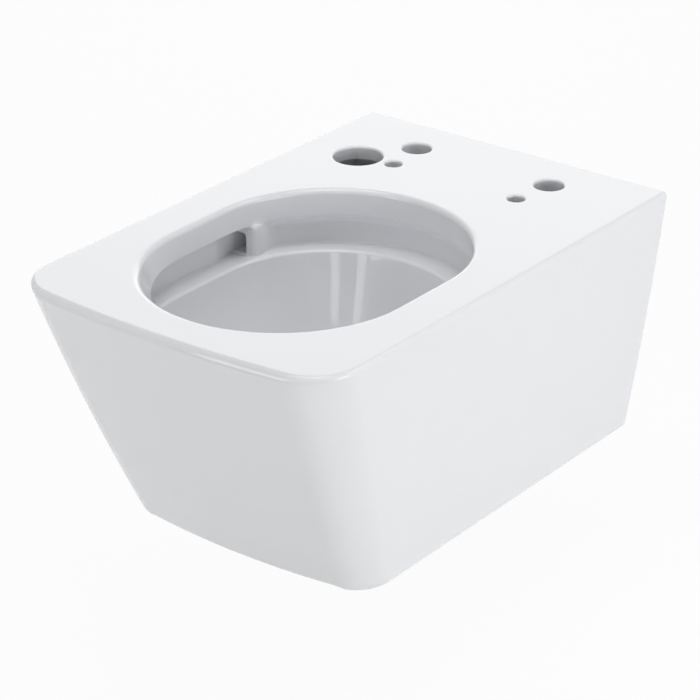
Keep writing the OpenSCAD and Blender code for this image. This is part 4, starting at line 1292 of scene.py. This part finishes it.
def floor_material(rgb, white_share):
    """Pale floor that looks white to the camera and in reflections, and keeps a soft shadow"""
    made = Shader(bpy.data.materials.new("floor"))
    made.finish(Base_Color=(*rgb, 1), Roughness=0.9)
    matt = Value(made, made.surface.outputs[0])
    white = made.node("ShaderNodeEmission", {}, {"Color": (1, 1, 1, 1), "Strength": 1.0})
    mixed = made.node("ShaderNodeMixShader", {}, {0: made.seen() * white_share, 1: matt, 2: white})
    made.feed(made.tree.nodes["Material Output"].inputs["Surface"], mixed)
    return made.owner


def studio_world(light):
    """World of even light, which is plain white wherever the camera looks"""
    made = Shader(bpy.data.worlds.new("studio"), "Background")
    seen = made.seen()
    return made.finish(Color=(1, 1, 1, 1), Strength=seen + (1 - seen) * light)


# Operators

CHINA_NODES = ("deck_rim", "shroud", "bowl", "channel_wall", "flush_distributor", "inlet_chamber",
               "trapway")
LEAST_CHINA_FACES = 1000
LEAST_FACES = 6
ANCHOR_SIDES = 64
BUSH_SIDES = 72
SCREW_SIDES = 48
SEAL_LIPS = 3
# Section of one lip: share of the lip's pitch, and share of its height
SEAL_LIP_FORM = ((0.9, 0), (0.7, 1), (0.3, 1), (0.1, 0))


class PAN_OT_china(bpy.types.Operator):
    """Make the china in one glazed body"""
    bl_idname = "pan.china"
    bl_label = "China"

    def execute(self, context):
        body = china_body(Sizes(context.scene))
        if len(body.data.polygons) < LEAST_CHINA_FACES:
            raise RuntimeError("the china came out empty")
        finish_piece(body, "pan", material(context, "glazed_china"), CHINA_NODES)
        return {"FINISHED"}


def dress(context, made, node, body, slot):
    """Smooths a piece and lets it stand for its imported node"""
    if len(made.data.polygons) < LEAST_FACES:
        raise RuntimeError(f"{node} came out empty")
    smooth(made, SHARP_ANGLE)
    made.name = made.data.name = f"{node}_dressed"
    finish_piece(made, body, material(context, slot), (node,))


class PAN_OT_seal(bpy.types.Operator):
    """Make the rubber seal in the flush inlet"""
    bl_idname = "pan.seal"
    bl_label = "Inlet seal"

    def execute(self, context):
        s = Sizes(context.scene)
        mouth, step = -s.mouth_y, s.seal_l / SEAL_LIPS
        near, far = mouth + s.seal_flange_t, mouth - s.seal_l
        r_out, r_in = s.inlet_d / 2 - s.seat_play, s.seal_bore_d / 2
        flange_r, groove_r = s.inlet_d / 2 + s.seal_flange_w, r_out - s.seal_groove
        loop = [(r_in, near), (flange_r, near), (flange_r, mouth), (r_out, mouth)]
        for i in range(SEAL_LIPS):
            mid = mouth - (i + 0.5) * s.seal_l / SEAL_LIPS
            low, high = mid + s.seal_groove_w / 2, mid - s.seal_groove_w / 2
            loop += [(r_out, low), (groove_r, low), (groove_r, high), (r_out, high)]
        loop += [(r_out, far), (r_in, far)]
        for i in reversed(range(SEAL_LIPS)):
            loop += [(r_in + s.seal_lip * out, mouth - i * step - step * along)
                     for along, out in SEAL_LIP_FORM]
        made = turned("inlet_seal", softened(loop, s.soft_edge), "Y", (0, 0, s.inlet_z), ROUND_SIDES)
        dress(context, made, "inlet_seal", "pan", "seal_rubber")
        return {"FINISHED"}


class PAN_OT_anchors(bpy.types.Operator):
    """Make the two threaded wall anchors with their grooves and hex sockets"""
    bl_idname = "pan.anchors"
    bl_label = "Wall anchors"

    def execute(self, context):
        s = Sizes(context.scene)
        tree = thread_tree()
        near, end = -s.washer_t, -s.washer_t - s.anchor_l
        r, bore_r, collar_r = s.anchor_d / 2, s.stud_d / 2, s.collar_d / 2
        half, deep = s.groove_floor / 2, s.groove_depth
        loop = [(bore_r, near), (collar_r, near), (collar_r, near - s.collar_t), (r, near - s.collar_t),
                (r, half + deep - s.access_y), (r - deep, half - s.access_y),
                (r - deep, -half - s.access_y), (r, -half - deep - s.access_y),
                (r, end + s.anchor_tip), (r - s.anchor_tip, end), (0, end),
                (0, near - s.stud_hole_l), (bore_r, near - s.stud_hole_l)]
        thread_l = s.stud_hole_l - 2 * s.stud_thread
        for side, sign in SIDES:
            x = sign * s.stud_pitch / 2
            made = turned("anchor", softened(loop, s.soft_edge), "Y", (x, 0, 0), ANCHOR_SIDES)
            cut(made, hex_socket(s.anchor_hex, end - OVERRUN, end + s.anchor_hex, "Y", (x, 0, 0)))
            join(made, thread(s, tree, "stud_thread", bore_r, s.stud_thread, thread_l, "Y",
                              (x, near - s.stud_thread, 0)))
            dress(context, made, f"wall_anchor_{side}", "pan", "zinc_steel")
        return {"FINISHED"}


class PAN_OT_bushes(bpy.types.Operator):
    """Make the nylon washers and the flanged sleeves round the anchors"""
    bl_idname = "pan.bushes"
    bl_label = "Washers and sleeves"

    def execute(self, context):
        s = Sizes(context.scene)
        r, washer_r = s.anchor_d / 2 + s.anchor_play, s.stud_d / 2 + s.anchor_play
        near, far = s.sleeve_flange_t - s.mouth_y, -s.mouth_y - s.rib_t
        collar_r, flange_r, sleeve_r = s.collar_d / 2, s.sleeve_flange_d / 2, s.sleeve_d / 2
        washer = [(washer_r, 0), (collar_r, 0), (collar_r, -s.washer_t), (washer_r, -s.washer_t)]
        sleeve = [(r, near), (flange_r, near), (flange_r, -s.mouth_y), (sleeve_r, -s.mouth_y),
                  (sleeve_r, far), (r, far)]
        for side, sign in SIDES:
            place = (sign * s.stud_pitch / 2, 0, 0)
            for name, loop in (("wall_washer", washer), ("sleeve", sleeve)):
                made = turned(name, softened(loop, s.soft_edge), "Y", place, BUSH_SIDES)
                dress(context, made, f"{name}_{side}", "pan", "white_nylon")
        return {"FINISHED"}


class PAN_OT_clamps(bpy.types.Operator):
    """Make the clamp blocks and jaws, with their moulded and machined edges broken"""
    bl_idname = "pan.clamps"
    bl_label = "Clamp blocks and jaws"

    def execute(self, context):
        s = Sizes(context.scene)
        for side, _ in SIDES:
            block = tidied_copy(f"clamp_block_{side}", s.soft_edge)
            dress(context, block, f"clamp_block_{side}", "pan", "grey_nylon")
            jaw = tidied_copy(f"clamp_jaw_{side}", s.soft_edge / 2)
            dress(context, jaw, f"clamp_jaw_{side}", f"jaw_{side}", "zinc_steel")
        return {"FINISHED"}


class PAN_OT_screws(bpy.types.Operator):
    """Make the two threaded clamp screws with their hex sockets"""
    bl_idname = "pan.screws"
    bl_label = "Clamp screws"

    def execute(self, context):
        s = Sizes(context.scene)
        tree = thread_tree()
        r, core, pilot_r = s.screw_d / 2, s.screw_d / 2 - s.thread_depth, s.pilot_d / 2
        low, top = s.jaw_top + s.screw_play, s.jaw_top + s.screw_l
        pilot, chamfer = low - s.pilot_l, s.screw_chamfer
        loop = [(0, pilot), (pilot_r, pilot), (pilot_r, low), (core, low), (core, top - 3 * chamfer),
                (r, top - 2.5 * chamfer), (r, top - chamfer), (r - chamfer, top), (0, top)]
        thread_l = s.screw_l - 3 * chamfer - s.thread_depth - s.screw_thread
        for side, sign in SIDES:
            place = (sign * s.stud_pitch / 2, -s.access_y, 0)
            made = turned("screw", softened(loop, s.soft_edge / 3), "Z", place, SCREW_SIDES)
            start = Vector(place) + Vector((0, 0, low + s.thread_depth))
            join(made, thread(s, tree, "screw_thread", core, s.screw_thread, thread_l, "Z", start))
            cut(made, hex_socket(s.screw_hex, top + OVERRUN, top - s.screw_hex_l, "Z", place))
            dress(context, made, f"clamp_screw_{side}", f"screw_{side}", "zinc_steel")
        return {"FINISHED"}


SENSOR_W = 36
LAMP_AIM = (0, -0.3, -0.05)
LAMP_DISTANCE = 2.2
# Each lamp's degrees to the right of straight in front of the pan, degrees up, width and height
LAMPS = {
    "top": (0, 85, 1.5, 1.5),
    "far": (-142.5, 26, 2, 2),
    "back": (135, 50, 1, 1),
    "front": (-15, 5, 1, 1),
    "right": (90, 3, 1, 1),
}
STRIP_AZIMUTHS = (31, 6, -13)
STRIP_FORM = (18, 0.3, 0.7)


def away(azimuth, elevation):
    """Direction from the pan; azimuth 0 is straight in front of it, and a quarter turn on its right"""
    return Vector((sin(azimuth) * cos(elevation), -cos(azimuth) * cos(elevation), sin(elevation)))


def facing(name, data, place, back):
    """New object at a place, turned to look the other way than back"""
    made = new_object(name, data)
    made.location = place
    made.rotation_euler = (-back).to_track_quat("-Z", "Y").to_euler()
    return made


def lamp(name, azimuth, elevation, w, h, watts):
    """Panel lamp that the camera doesn't see, aimed at the pan"""
    data = bpy.data.lights.new(name, "AREA")
    data.shape = "RECTANGLE"
    data.size = w
    data.size_y = h
    data.energy = watts
    back = away(radians(azimuth), radians(elevation))
    made = facing(name, data, Vector(LAMP_AIM) + back * LAMP_DISTANCE, back)
    made.visible_camera = False


class PAN_OT_stage(bpy.types.Operator):
    """Make the camera, the floor, the lamps and the world"""
    bl_idname = "pan.stage"
    bl_label = "Stage"

    def execute(self, context):
        scene = context.scene
        stage = scene.stage_settings
        scene.view_settings.view_transform = "Standard"

        data = bpy.data.cameras.new("camera")
        data.lens = stage.camera_lens
        data.sensor_width = SENSOR_W
        back = away(stage.camera_azimuth, stage.camera_elevation)
        scene.camera = facing("camera", data, stage.camera_place, back)

        half = stage.floor_size / 2
        floor_z = scene.pan_sizes.deck_z - stage.deck_height
        mesh = bpy.data.meshes.new("floor")
        mesh.from_pydata([(-half, -half, floor_z), (half, -half, floor_z), (half, half, floor_z),
                          (-half, half, floor_z)], [], [(0, 1, 2, 3)])
        mesh.materials.append(floor_material(scene.finish_colours.floor, stage.floor_white))
        new_object("floor", mesh)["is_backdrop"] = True

        scene.world = studio_world(stage.world_light)
        for name, form in LAMPS.items():
            lamp(f"{name}_lamp", *form, getattr(stage, f"{name}_power"))
        for azimuth in STRIP_AZIMUTHS:
            lamp(f"strip_lamp_{azimuth}", azimuth, *STRIP_FORM, stage.strip_power)
        return {"FINISHED"}


class PAN_PT_panel(bpy.types.Panel):
    """Buttons for the parts of the model"""
    bl_idname = "PAN_PT_panel"
    bl_label = "Wall Hung Pan"
    bl_space_type = "VIEW_3D"
    bl_region_type = "UI"
    bl_category = "Wall Hung Pan"

    def draw(self, context):
        for operator in OPERATORS:
            self.layout.operator(operator.bl_idname)
        for group in GROUPS:
            settings = getattr(context.scene, group)
            for name in type(settings).__annotations__:
                self.layout.prop(settings, name)


GROUPS = {"pan_sizes": PanSizes, "opening_sizes": OpeningSizes, "waterway_sizes": WaterwaySizes,
          "fixing_sizes": FixingSizes, "finish_colours": FinishColours, "stage_settings": StageSettings}
OPERATORS = (PAN_OT_china, PAN_OT_seal, PAN_OT_anchors, PAN_OT_bushes, PAN_OT_clamps, PAN_OT_screws,
             PAN_OT_stage)


def register():
    for group in GROUPS.values():
        bpy.utils.register_class(group)
    for cls in (*OPERATORS, PAN_PT_panel):
        bpy.utils.register_class(cls)
    for name, group in GROUPS.items():
        setattr(bpy.types.Scene, name, bpy.props.PointerProperty(type=group))


def unregister():
    for name in GROUPS:
        delattr(bpy.types.Scene, name)
    for cls in (PAN_PT_panel, *reversed(OPERATORS)):
        bpy.utils.unregister_class(cls)
    for group in GROUPS.values():
        bpy.utils.unregister_class(group)


def plain(bounds):
    return [[round(float(v), 6) for v in corner] for corner in bounds]


def main():
    register()
    for operator in OPERATORS:
        getattr(bpy.ops.pan, operator.bl_idname.split(".")[1])()
    {"cad": plain(cad_bounds), "visual": plain(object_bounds())}


if __name__ == "__main__":
    main()
